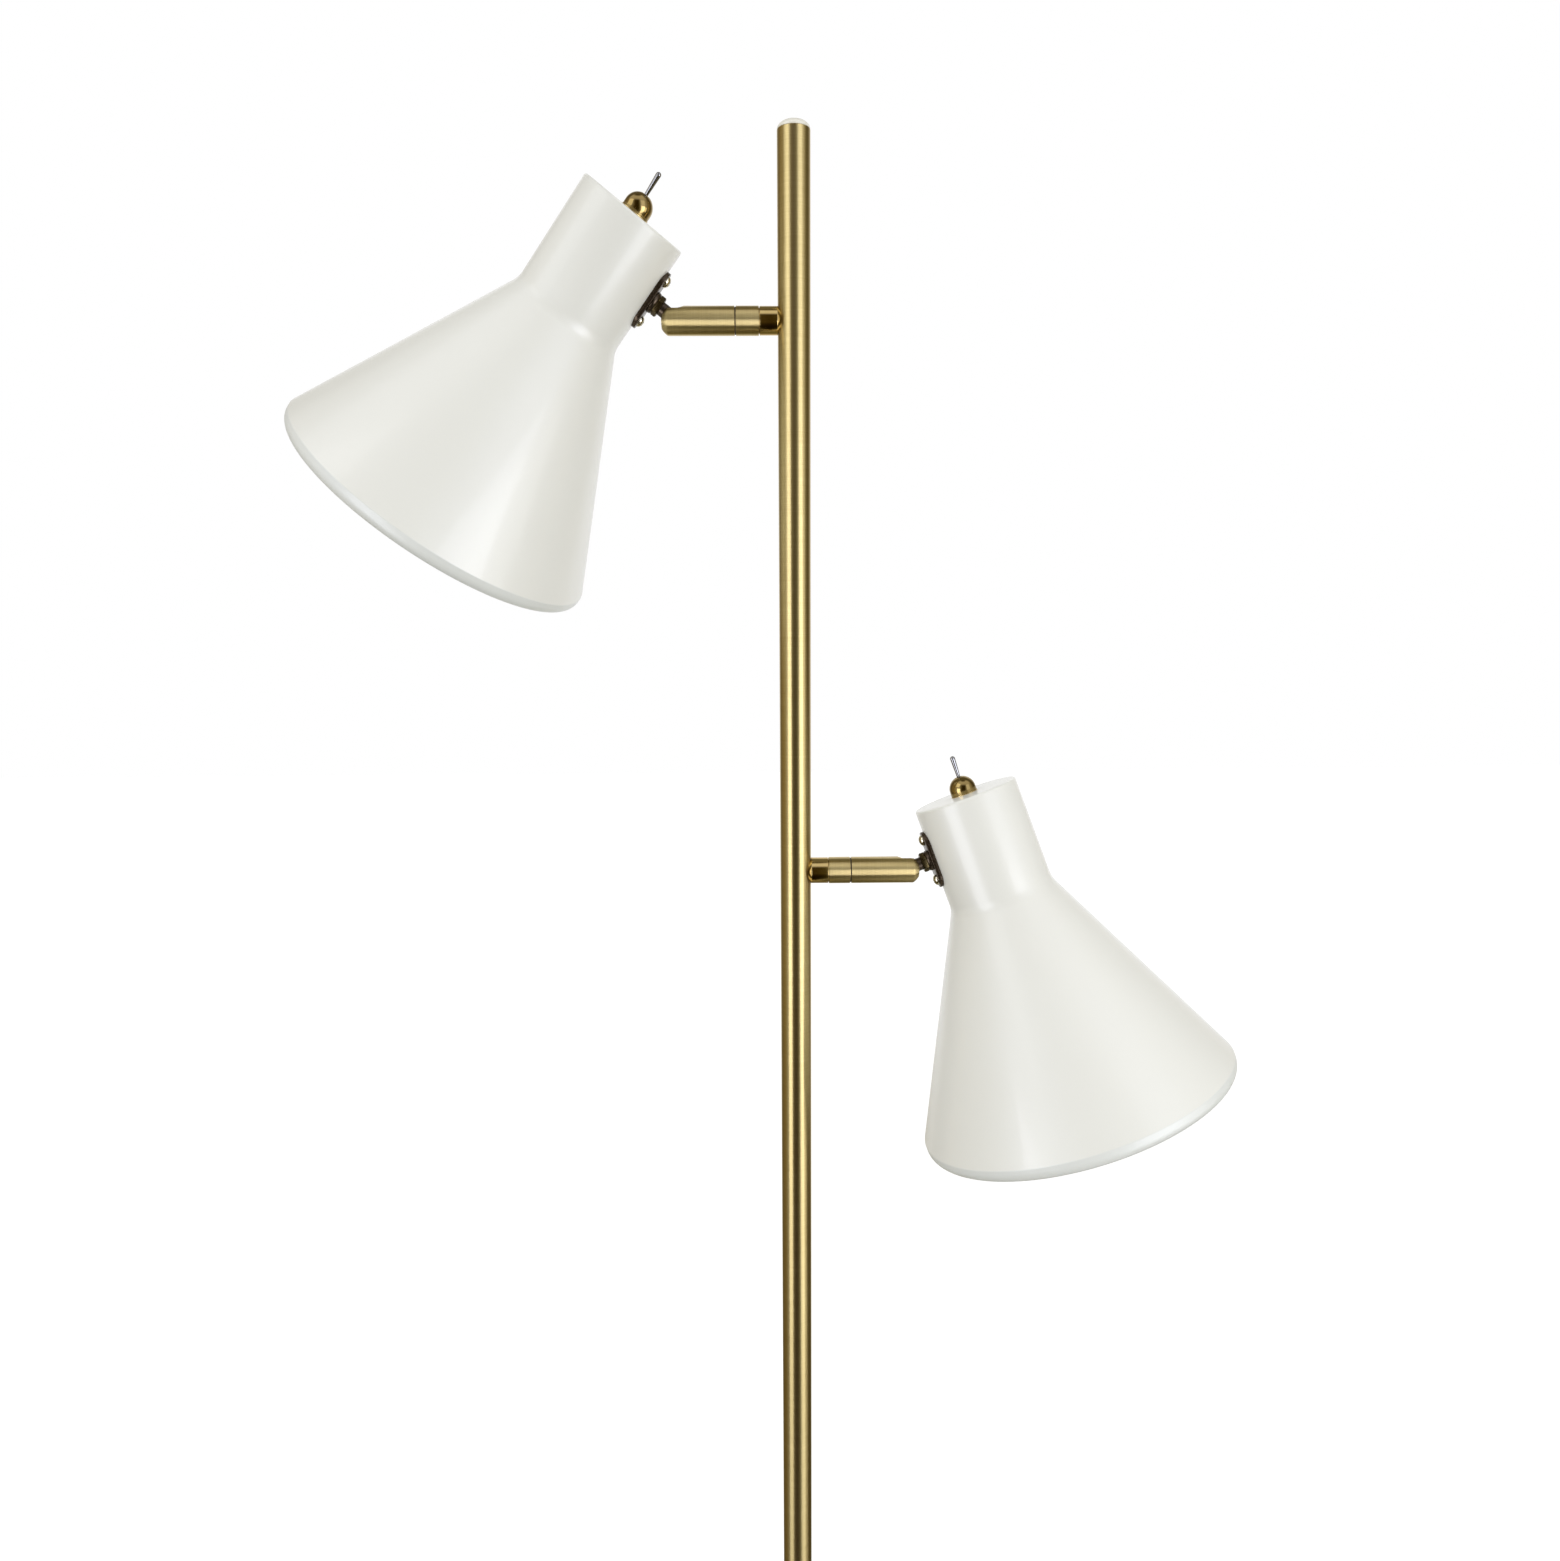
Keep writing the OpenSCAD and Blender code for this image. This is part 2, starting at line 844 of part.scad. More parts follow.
module foot_nipple() {
    color([0.72, 0.66, 0.50])
        translate([0, 0, pad_t + 0.6])
            difference() {
                cylinder(h = foot_top + 24 - pad_t, r = foot_nipple_r);
                translate([0, 0, -past])
                    cylinder(h = foot_top + 24, r = foot_nipple_bore);
            }
}

module foot_nut() {
    color([0.60, 0.61, 0.63])
        translate([0, 0, nut_pocket_top])
            mirror([0, 0, 1])
                difference() {
                    union() {
                        cylinder(h = 1.2, r = nut_pocket_r - 1);
                        cylinder(h = 6, d = 16 / cos(30), $fn = 6);
                    }
                    translate([0, 0, -past])
                        cylinder(h = 8, r = foot_nipple_r);
                }
}

// Spun cover with a soft shoulder, rising gently to the collar
module foot_cover() {
    bend_z = pad_t + foot_rim_h;
    bend_x = foot_r - foot_bend_r;
    shoulder = bend_z + foot_bend_r;
    color([0.62, 0.52, 0.30])
        difference() {
            rotate_extrude($fn = 128)
                polygon(concat(
                    [[foot_r, pad_t + 0.2]],
                    arc(bend_x, bend_z, foot_bend_r, 0, 88, 8),
                    [[foot_boss_r, foot_top], [pole_r + fit_gap, foot_top]],
                    [[pole_r + fit_gap, foot_top - foot_wall], [foot_boss_r, foot_top - foot_wall]],
                    arc(bend_x, bend_z, foot_bend_r - foot_wall, 88, 0, 8),
                    [[foot_r - foot_wall, pad_t + 0.2]]
                ));
            translate([0, foot_r, gland_z])
                rotate([90, 0, 0])
                    cylinder(h = 20, r = gland_r + fit_gap, center = true);
        }
}

// Cast weight with a pocket for the nut and a channel for the cord
module foot_weight() {
    color([0.22, 0.22, 0.23])
        difference() {
            rotate_extrude($fn = 128)
                polygon([
                    [foot_nipple_r + 0.3, pad_t],
                    [weight_r, pad_t],
                    [weight_r, weight_top - 5],
                    [weight_r - 5, weight_top],
                    [foot_nipple_r + 0.3, weight_top]
                ]);
            translate([0, 0, -past])
                cylinder(h = nut_pocket_top + past, r = nut_pocket_r);
            translate([-channel_w / 2, 0, -past])
                cube([channel_w, foot_r, channel_top + past]);
        }
}

module foot_pad() {
    color([0.08, 0.08, 0.08])
        cylinder(h = pad_t, r = foot_r - 2, $fn = 128);
}

// Bushed inlet for the mains cord, at the back of the foot
module cord_gland() {
    color([0.09, 0.09, 0.09])
        translate([0, foot_r - gland_l + 2.5, gland_z])
            rotate([-90, 0, 0])
                rotate_extrude()
                    polygon([
                        [gland_bore, 0],
                        [gland_r, 0],
                        [gland_r, gland_l - 2.4],
                        [gland_flange_r, gland_l - 2.4],
                        [gland_flange_r, gland_l - 0.8],
                        [gland_flange_r - 0.8, gland_l],
                        [gland_bore + 0.3, gland_l],
                        [gland_bore, gland_l - 0.4]
                    ]);
}

pole_cap();
upper_pole();
lower_pole();
pole_coupler();
pole_leads();
pole_inserts();
arm_nipples();
friction_washers();
barrel_nuts();
foot_collar();
foot_plug();
foot_nipple();
foot_nut();
foot_cover();
foot_weight();
foot_pad();
cord_gland();
arm_base("left");  // left_arm_base
arm_ring("left");  // left_arm_ring
barrel("left");  // left_barrel
disc_springs("left");  // left_disc_springs
ball_seat("left");  // left_ball_seat
ball_stem("left");  // left_ball_stem
stem_nut("left");  // left_stem_nut
lock_nut("left");  // left_lock_nut
stem_collar("left");  // left_stem_collar
side_plate("left");  // left_side_plate
plate_screws("left");  // left_plate_screws
shade("left");  // left_shade
toggle_body("left");  // left_toggle_body
toggle_washer("left");  // left_toggle_washer
toggle_nut("left");  // left_toggle_nut
toggle_lever("left");  // left_toggle_lever
holder_bracket("left");  // left_holder_bracket
lampholder("left");  // left_lampholder
bulb("left");  // left_bulb
bulb_cap("left");  // left_bulb_cap
head_leads("left");  // left_head_leads
arm_base("right");  // right_arm_base
arm_ring("right");  // right_arm_ring
barrel("right");  // right_barrel
disc_springs("right");  // right_disc_springs
ball_seat("right");  // right_ball_seat
ball_stem("right");  // right_ball_stem
stem_nut("right");  // right_stem_nut
lock_nut("right");  // right_lock_nut
stem_collar("right");  // right_stem_collar
side_plate("right");  // right_side_plate
plate_screws("right");  // right_plate_screws
shade("right");  // right_shade
toggle_body("right");  // right_toggle_body
toggle_washer("right");  // right_toggle_washer
toggle_nut("right");  // right_toggle_nut
toggle_lever("right");  // right_toggle_lever
holder_bracket("right");  // right_holder_bracket
lampholder("right");  // right_lampholder
bulb("right");  // right_bulb
bulb_cap("right");  // right_bulb_cap
head_leads("right");  // right_head_leads
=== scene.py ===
"""Looks of the two-headed floor lamp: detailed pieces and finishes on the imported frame."""
import json
import math

import bmesh
import bpy
from mathutils import Matrix, Vector

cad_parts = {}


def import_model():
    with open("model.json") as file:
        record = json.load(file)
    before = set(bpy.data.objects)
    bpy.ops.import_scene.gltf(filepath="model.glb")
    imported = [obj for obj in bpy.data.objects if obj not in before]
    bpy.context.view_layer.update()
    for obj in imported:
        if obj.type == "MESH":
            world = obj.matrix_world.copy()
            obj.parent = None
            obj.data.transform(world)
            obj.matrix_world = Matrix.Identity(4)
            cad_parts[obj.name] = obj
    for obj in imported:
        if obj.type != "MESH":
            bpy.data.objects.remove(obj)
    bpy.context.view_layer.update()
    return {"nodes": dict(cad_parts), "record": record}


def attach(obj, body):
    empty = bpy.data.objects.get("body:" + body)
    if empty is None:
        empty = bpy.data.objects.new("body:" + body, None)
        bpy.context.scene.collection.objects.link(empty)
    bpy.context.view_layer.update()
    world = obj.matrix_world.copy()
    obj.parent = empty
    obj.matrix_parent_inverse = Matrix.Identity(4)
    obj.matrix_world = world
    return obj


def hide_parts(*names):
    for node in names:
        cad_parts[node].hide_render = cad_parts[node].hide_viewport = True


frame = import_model()

MM = 0.001
SIDES = ("left", "right")
SLOT_OF = {part["node"]: part["material_slot"] for part in frame["record"]["subparts"]}

# ---- Driving dimensions, in mm and degrees; the same as the solids' ----

# Gap of a spigot, tube or bush in its hole
FIT_GAP = 0.05
# How far a cutting shape runs past what it cuts
PAST = 4.0

POLE_R = 8.0
POLE_WALL = 1.2
POLE_BORE_R = POLE_R - POLE_WALL
POLE_EDGE = 0.3
POLE_TOP = 1495.0
JOINT_Z = 695.0
CAP_RISE = 4.4
CAP_EDGE = 0.3
CAP_SEAT = 0.02
CAP_CHAMFER = 0.1
CAP_SPIGOT_L = 10.0

ARM_DROP = {"left": 86.5, "right": 361.0}
SPIN = {"left": -11.0, "right": -12.0}
TILT = {"left": 38.0, "right": 20.0}
TWIST = {"left": 2.0, "right": -4.0}
LEAN = {"left": -10.0, "right": 10.0}

ARM_R = 6.9
ARM_BORE_R = 4.05
BASE_R = 6.75
BASE_EDGE = 8.2
BASE_SLOPE = 0.8
BASE_END = 16.9
RING_START = 17.2
RING_END = 28.4
RING_STEP = 0.8
RING_STEP_L = 0.3
BARREL_START = 29.0
BARREL_BACK = 31.5
NOSE_R = 8.0
NOSE_BLEND_L = 0.3
NOSE_BLEND_ANGLE = 2.5
MOUTH_EDGE = 0.2
BALL_X = 57.5
BALL_R = 5.95
BALL_BACK_ANGLE = 72.0
SEAT_R = 6.05
SLOT_W = 7.4
SLOT_BACK = 53.4

STEM_R = 3.4
SPIGOT_R = 3.0
STEM_BORE = 1.8
STEM_FUNNEL_L = 2.2
STEM_END = 22.3
NUT_START = 9.2
NUT_END = 11.8
NUT_FLATS = 9.0
NUT_CHAMFER_R = 0.8
NUT_CHAMFER_L = 0.5
COLLAR_START = 11.9
COLLAR_R = 5.5
COLLAR_NOSE_R = 4.6
COLLAR_BULGE = 0.8
PLATE_FACE = 14.0
PLATE_BLOCK = 3.0
PLATE_L = 30.6
PLATE_W = 13.0
SCREW_PITCH = 22.0
SCREW_R = 1.5
SCREW_HEAD_R = 2.9
SCREW_HEAD_H = 2.1
SCREW_END = 20.0
RECESS_L = 3.4
RECESS_W = 0.9
RECESS_DEPTH = 1.0

NECK_R = 27.5
NECK_H = 56.0
NECK_FACE = 15.7
SHADE_X = NECK_FACE + NECK_R
MOUTH_R = 83.5
SHADE_H = 176.0
SHADE_T = 0.9
LIP_R = 5.4
LIP_TOP = SHADE_H - LIP_R - 2.6
LIP_STEP = 0.3
LIP_STEP_H = 0.7
LID_EDGE = 1.2
BEND_R = 14.0
STEM_DROP = 26.2

DOME_R = 6.9
DOME_BASE = 0.5
DOME_SIDE = 2.4
DOME_HOLE = 2.0
DOME_FLOOR = 6.9
BUSH_R = 4.2
WASHER_RIM = 0.2
LEVER_PIVOT = 5.0
LEVER_L = 16.3
LEVER_BALL_R = 2.35
LEVER_ROD_START = 4.0
LEVER_ROOT_R = 0.9
LEVER_TIP_R = 1.3

FOOT_R = 120.0
FOOT_RIM_H = 10.0
FOOT_BEND_R = 6.0
FOOT_BEND_ANGLE = 88.0
FOOT_WALL = 1.2
FOOT_BOSS_R = 22.0
PAD_T = 2.0
PAD_INSET = 2.0
COVER_GAP = 0.2
FOOT_TOP = PAD_T + FOOT_RIM_H + FOOT_BEND_R + 2.0
FOOT_COLLAR_R = 19.0
FOOT_COLLAR_NECK_R = 11.0
FOOT_COLLAR_H = 20.0
FOOT_COLLAR_BAND = 2.0
FOOT_COLLAR_CHAMFER = 1.0
GLAND_Z = PAD_T + 5.0
GLAND_HOLE_R = 4.75
GLAND_BORE_R = 3.3
GLAND_R = 4.7
GLAND_HEAD_R = 4.9
GLAND_HEAD_START = 13.6
GLAND_INSET = 13.5
GLAND_L = 16.0
GLAND_EDGE = 0.8
GLAND_MOUTH = 0.3
GLAND_MOUTH_L = 0.4


# ---- Where things are ----

ORIGIN = Matrix.Identity(4)


def shift(x, y, z):
    """Translation by millimetres."""
    return Matrix.Translation(Vector((x, y, z)) * MM)


def turn(angle, axis):
    """Rotation by degrees."""
    return Matrix.Rotation(math.radians(angle), 4, axis)


ALONG_X = turn(90, "Y")


def arm_place(side):
    """Arm frame: +X runs out from the pole's axis along the arm."""
    half_turn = turn(180, "Z") if side == "left" else ORIGIN
    return shift(0, 0, POLE_TOP - ARM_DROP[side]) @ half_turn


def barrel_place(side):
    """As the arm frame, turned about the arm with the barrel's slot."""
    return arm_place(side) @ turn(SPIN[side], "X")


def stem_place(side):
    """Stem frame: the ball's centre, with +X along the stem and Z along the shade."""
    return barrel_place(side) @ shift(BALL_X, 0, 0) @ turn(-TILT[side], "Y") @ turn(-TWIST[side], "X")


def lid_place(side):
    """Lid frame: the middle of the shade's lid, with the shade below it."""
    return stem_place(side) @ shift(SHADE_X, 0, STEM_DROP)


# ---- Outlines ----

def oval(x, y, x_radius, y_radius, start, end, steps):
    """Points of a stretch of an ellipse about (x, y), from angle start to angle end."""
    angles = [math.radians(start + (end - start) * i / steps) for i in range(steps + 1)]
    return [(x + x_radius * math.cos(a), y + y_radius * math.sin(a)) for a in angles]


def arc(x, y, radius, start, end, steps):
    return oval(x, y, radius, radius, start, end, steps)


def softened(points, radius, closed=True):
    """The outline with each clear corner rounded off, as a turned or pressed edge is."""
    steps = 4
    clear_corner = math.radians(20)
    out = []
    count = len(points)
    for i, here in enumerate(points):
        if not closed and i in (0, count - 1):
            out.append(here)
            continue
        p = Vector(here)
        a = Vector(points[i - 1]) - p
        b = Vector(points[(i + 1) % count]) - p
        if a.length < 1e-6 or b.length < 1e-6:
            continue
        corner = math.pi - a.angle(b)
        if corner < clear_corner:
            out.append(here)
            continue
        trim = min(radius * math.tan(corner / 2), a.length * 0.45, b.length * 0.45)
        start, end = p + a.normalized() * trim, p + b.normalized() * trim
        for k in range(steps + 1):
            t = k / steps
            out.append(tuple(start * (1 - t) ** 2 + p * 2 * t * (1 - t) + end * t ** 2))
    return out


# ---- Meshes ----

def finished_mesh(name, bm):
    mesh = bpy.data.meshes.new(name)
    bmesh.ops.recalc_face_normals(bm, faces=bm.faces)
    bm.to_mesh(mesh)
    bm.free()
    return mesh


def turned_mesh(name, outline, steps=96, closed=True):
    """Mesh of revolution about local Z; the outline is (radius, height) in mm."""
    bm = bmesh.new()
    angles = [2 * math.pi * i / steps for i in range(steps)]
    rings = []
    for r, z in outline:
        if r < 1e-4:
            rings.append([bm.verts.new((0, 0, z * MM))])
            continue
        rings.append([bm.verts.new((r * math.cos(a) * MM, r * math.sin(a) * MM, z * MM)) for a in angles])
    pairs = list(zip(rings, rings[1:]))
    if closed:
        pairs.append((rings[-1], rings[0]))
    for low, high in pairs:
        if len(low) == 1 and len(high) == 1:
            continue
        for i in range(steps):
            j = (i + 1) % steps
            if len(low) == 1:
                bm.faces.new((low[0], high[j], high[i]))
            elif len(high) == 1:
                bm.faces.new((low[i], low[j], high[0]))
            else:
                bm.faces.new((low[i], low[j], high[j], high[i]))
    return finished_mesh(name, bm)


def rod_mesh(radius, low, high, steps=64):
    """Plain cylinder about local Z, for cutting."""
    outline = [(0, low), (radius, low), (radius, high), (0, high)]
    return turned_mesh("rod", outline, steps, closed=False)


def slab_mesh(name, outline, low, high):
    """Prism of an outline in the local XY plane, from z = low to z = high, in mm."""
    bm = bmesh.new()
    under = [bm.verts.new((x * MM, y * MM, low * MM)) for x, y in outline]
    over = [bm.verts.new((x * MM, y * MM, high * MM)) for x, y in outline]
    bm.faces.new(list(reversed(under)))
    bm.faces.new(over)
    for i in range(len(outline)):
        j = (i + 1) % len(outline)
        bm.faces.new((under[i], under[j], over[j], over[i]))
    return finished_mesh(name, bm)


def loose(name, data, place):
    """New object in the scene, not yet on any body."""
    obj = bpy.data.objects.new(name, data)
    bpy.context.scene.collection.objects.link(obj)
    obj.matrix_world = place
    return obj


def settle(obj):
    """Turns the object's modifiers into plain mesh."""
    bpy.context.view_layer.update()
    graph = bpy.context.evaluated_depsgraph_get()
    mesh = bpy.data.meshes.new_from_object(obj.evaluated_get(graph))
    obj.modifiers.clear()
    obj.data = mesh


def cut(obj, mesh, place, keep_common=False):
    """Cuts a mesh away from the object, or keeps what the two share."""
    cutter = loose(obj.name + "_cutter", mesh, place)
    tool = obj.modifiers.new("cut", "BOOLEAN")
    tool.operation = "INTERSECT" if keep_common else "DIFFERENCE"
    tool.solver = "EXACT"
    tool.object = cutter
    settle(obj)
    bpy.data.objects.remove(cutter)


def bevel(obj, width, angle, segments=3):
    """Rounds the edges that turn by more than the angle."""
    tool = obj.modifiers.new("edges", "BEVEL")
    tool.width = width * MM
    tool.segments = segments
    tool.limit_method = "ANGLE"
    tool.angle_limit = math.radians(angle)
    tool.miter_outer = "MITER_ARC"
    tool.use_clamp_overlap = True
    settle(obj)


# ---- Node trees ----

class Tree:
    """Short calls for a node tree. A value is a number, a colour or another node's output."""

    def __init__(self, tree):
        self.tree = tree

    def put(self, socket, value):
        if isinstance(value, bpy.types.NodeSocket):
            self.tree.links.new(value, socket)
        elif isinstance(value, tuple) and len(socket.default_value) == 4:
            socket.default_value = (*value, 1)
        else:
            socket.default_value = value

    def add(self, kind, inputs=None, **settings):
        """New node, with its inputs by name or number."""
        node = self.tree.nodes.new(kind)
        for name, value in settings.items():
            setattr(node, name, value)
        for key, value in (inputs or {}).items():
            self.put(node.inputs[key], value)
        return node

    def maths(self, operation, a, b):
        return self.add("ShaderNodeMath", {0: a, 1: b}, operation=operation).outputs[0]

    def span(self, out, start, end, low=0.0, high=1.0, kind="LINEAR"):
        """Maps start..end to low..high, and holds the ends beyond."""
        inputs = {0: out, 1: start, 2: end, 3: low, 4: high}
        return self.add("ShaderNodeMapRange", inputs, interpolation_type=kind).outputs[0]

    def spread(self, out, low, high):
        """Maps 0..1 to low..high."""
        return self.span(out, 0.0, 1.0, low, high)

    def ramp(self, out, stops):
        """Colour ramp; stops are (position, colour or grey)."""
        node = self.add("ShaderNodeValToRGB", {0: out})
        elements = node.color_ramp.elements
        while len(elements) < len(stops):
            elements.new(0.5)
        for element, (position, value) in zip(elements, stops):
            element.position = position
            element.color = (*value, 1) if isinstance(value, tuple) else (value, value, value, 1)
        return node.outputs["Color"]

    def mix(self, factor, a, b, mode="MIX"):
        inputs = {0: factor, 6: a, 7: b}
        return self.add("ShaderNodeMix", inputs, data_type="RGBA", blend_type=mode).outputs[2]

    def either(self, factor, a, b):
        """Shader a where the factor is 0, and b where it is 1."""
        inputs = {0: factor, 1: a.outputs[0], 2: b.outputs[0]}
        return self.add("ShaderNodeMixShader", inputs)

    def around(self, x, y, stops):
        """Ramp over the direction seen from above, -Y in the middle."""
        angle = self.maths("ARCTAN2", x, self.maths("MULTIPLY", y, -1.0))
        place = self.span(angle, -math.pi, math.pi)
        return self.ramp(place, [((degrees + 180) / 360, level) for degrees, level in stops])

    def rays(self):
        """1 for rays that see straight or through glass, that mirror, and that light matt surfaces."""
        path = self.add("ShaderNodeLightPath").outputs
        direct = self.maths("MAXIMUM", path["Is Camera Ray"], path["Is Transmission Ray"])
        return direct, path["Is Glossy Ray"], path["Is Diffuse Ray"]


class Finish(Tree):
    """One material, textured in the object's own coordinates."""

    def __init__(self, name):
        self.material = bpy.data.materials.new(name)
        self.material.use_nodes = True
        super().__init__(self.material.node_tree)
        self.shader = self.tree.nodes["Principled BSDF"]
        self.coords = self.add("ShaderNodeTexCoord").outputs["Object"]

    def scaled(self, scale):
        """Object coordinates times one scale, or one along each local axis."""
        each = scale if isinstance(scale, tuple) else (scale, scale, scale)
        return self.add("ShaderNodeMapping", {"Vector": self.coords, "Scale": each}).outputs["Vector"]

    def noise(self, scale, detail, roughness=0.5):
        inputs = {"Vector": self.scaled(scale), "Scale": 1.0, "Detail": detail, "Roughness": roughness}
        return self.add("ShaderNodeTexNoise", inputs).outputs["Fac"]

    def cells(self, scale):
        inputs = {"Vector": self.scaled(scale), "Scale": 1.0}
        return self.add("ShaderNodeTexVoronoi", inputs).outputs["Distance"]

    def below(self, top, bottom):
        """0 above the local height top, 1 below the height bottom, in mm."""
        height = self.add("ShaderNodeSeparateXYZ", {0: self.coords}).outputs["Z"]
        return self.span(height, top * MM, bottom * MM)

    def bump(self, out, depth, after=None):
        """Relief of a depth in mm, on top of the relief given as after."""
        inputs = {"Height": out, "Distance": depth * MM, "Strength": 1.0}
        if after is not None:
            inputs["Normal"] = after
        return self.add("ShaderNodeBump", inputs).outputs["Normal"]

    def set(self, **values):
        """Sets the shader's sockets, by name with _ for a space."""
        for name, value in values.items():
            self.put(self.shader.inputs[name.replace("_", " ")], value)
        return self.material


# ---- Finishes ----

def enamel():
    """Pearly off-white enamel on spun metal; on the rolled lip, painted shade makes it greyer, and a thinner
    coat makes it duller.
    """
    n = Finish("enamel")
    flecks = n.noise(2600, detail=2, roughness=0.6)
    clouds = n.noise(14, detail=3)
    # Mask of the rolled lip below the crease: painted shade goes there, and the coat is thinner there
    painted_shade_lip = n.below(-LIP_TOP - 0.2, -LIP_TOP - LIP_STEP_H)
    base = n.mix(clouds, (0.79, 0.785, 0.735), (0.83, 0.83, 0.785))
    base = n.mix(n.spread(flecks, 0.0, 0.35), base, (0.88, 0.88, 0.85))
    # Painted shade: the lip band is made greyer, standing in for the little light it gets as it faces down
    base = n.mix(painted_shade_lip, base, (0.76, 0.775, 0.75))
    normal = n.bump(n.noise((45, 45, 28), detail=1), 0.25)
    normal = n.bump(n.noise((6, 6, 900), detail=2), 0.003, after=normal)
    normal = n.bump(n.noise(420, detail=1), 0.004, after=normal)
    return n.set(
        Base_Color=base, Roughness=n.spread(flecks, 0.34, 0.44), Normal=normal, Sheen_Weight=0.04,
        Coat_Weight=n.spread(painted_shade_lip, 0.5, 0.2), Coat_Roughness=0.10, Coat_IOR=1.42,
    )


def brushed_brass():
    """Antique brass, brushed round the local Z axis, so highlights stretch along it."""
    dark, light = (0.44, 0.33, 0.13), (0.69, 0.57, 0.28)
    n = Finish("brushed_brass")
    fine = n.noise((60, 60, 5200), detail=4, roughness=0.7)
    wide = n.noise((22, 22, 300), detail=3)
    lines = n.ramp(n.noise((35, 35, 1500), detail=4, roughness=0.6), [(0.32, 0.0), (0.68, 1.0)])
    tarnish = n.ramp(n.noise((9, 9, 16), detail=4), [(0.35, 0.0), (0.7, 0.25)])
    base = n.mix(n.spread(fine, 0.25, 1.0), dark, light)
    base = n.mix(n.spread(lines, 0.28, 0.0), base, dark)
    base = n.mix(tarnish, base, dark)
    return n.set(
        Base_Color=base, Metallic=1.0, Roughness=n.spread(wide, 0.31, 0.40), Normal=n.bump(fine, 0.006),
        Anisotropic=1.0, Anisotropic_Rotation=0.25,
    )


def polished_brass(name, light, dark):
    """Polished brass with faint tarnish."""
    n = Finish(name)
    cloud = n.noise(160, detail=4)
    fine = n.noise((90, 90, 5200), detail=3)
    base = n.mix(n.spread(cloud, 0.0, 0.8), light, dark)
    return n.set(
        Base_Color=base, Metallic=1.0, Roughness=n.spread(fine, 0.08, 0.15), Normal=n.bump(fine, 0.002),
    )


def dark_bronze():
    n = Finish("dark_bronze")
    fine = n.noise((500, 500, 2400), detail=3)
    base = n.mix(n.noise(300, detail=4), (0.045, 0.032, 0.022), (0.095, 0.070, 0.045))
    return n.set(
        Base_Color=base, Metallic=0.85, Roughness=n.spread(fine, 0.20, 0.36), Normal=n.bump(fine, 0.004),
    )


def olive_brass():
    n = Finish("olive_brass")
    fine = n.noise((300, 300, 4200), detail=3)
    base = n.mix(n.noise(350, detail=4), (0.055, 0.040, 0.018), (0.15, 0.115, 0.05))
    return n.set(
        Base_Color=base, Metallic=1.0, Roughness=n.spread(fine, 0.20, 0.34), Normal=n.bump(fine, 0.005),
    )


def bright_metal(name, low, high, rough):
    """Plated or machined metal with fine scuffs."""
    n = Finish(name)
    scuffs = n.noise(900, detail=4, roughness=0.7)
    base = n.mix(n.noise(120, detail=3), low, high)
    return n.set(
        Base_Color=base, Metallic=1.0, Roughness=n.spread(scuffs, rough - 0.04, rough + 0.06),
        Normal=n.bump(scuffs, 0.002),
    )


def moulded(name, low, high, rough, coat=0.0):
    """Moulded plastic, rubber or fibre with a fine texture."""
    n = Finish(name)
    pores = n.noise(1500, detail=3)
    base = n.mix(n.noise(60, detail=3), low, high)
    return n.set(
        Base_Color=base, Roughness=n.spread(pores, rough - 0.06, rough + 0.06), Normal=n.bump(pores, 0.01),
        Coat_Weight=coat, Coat_Roughness=0.08,
    )


def opal_glass():
    n = Finish("opal_glass")
    cloud = n.noise(40, detail=3)
    return n.set(
        Base_Color=n.mix(cloud, (0.86, 0.86, 0.83), (0.92, 0.92, 0.90)), Subsurface_Weight=0.3,
        Roughness=n.spread(cloud, 0.24, 0.30), Coat_Weight=0.6, Coat_Roughness=0.05,
    )


def cast_iron():
    n = Finish("cast_iron")
    grains = n.noise(260, detail=6, roughness=0.7)
    base = n.mix(grains, (0.05, 0.05, 0.055), (0.12, 0.12, 0.125))
    normal = n.bump(grains, 0.3, after=n.bump(n.cells(240), 0.2))
    return n.set(Base_Color=base, Metallic=0.4, Roughness=n.spread(grains, 0.55, 0.75), Normal=normal)


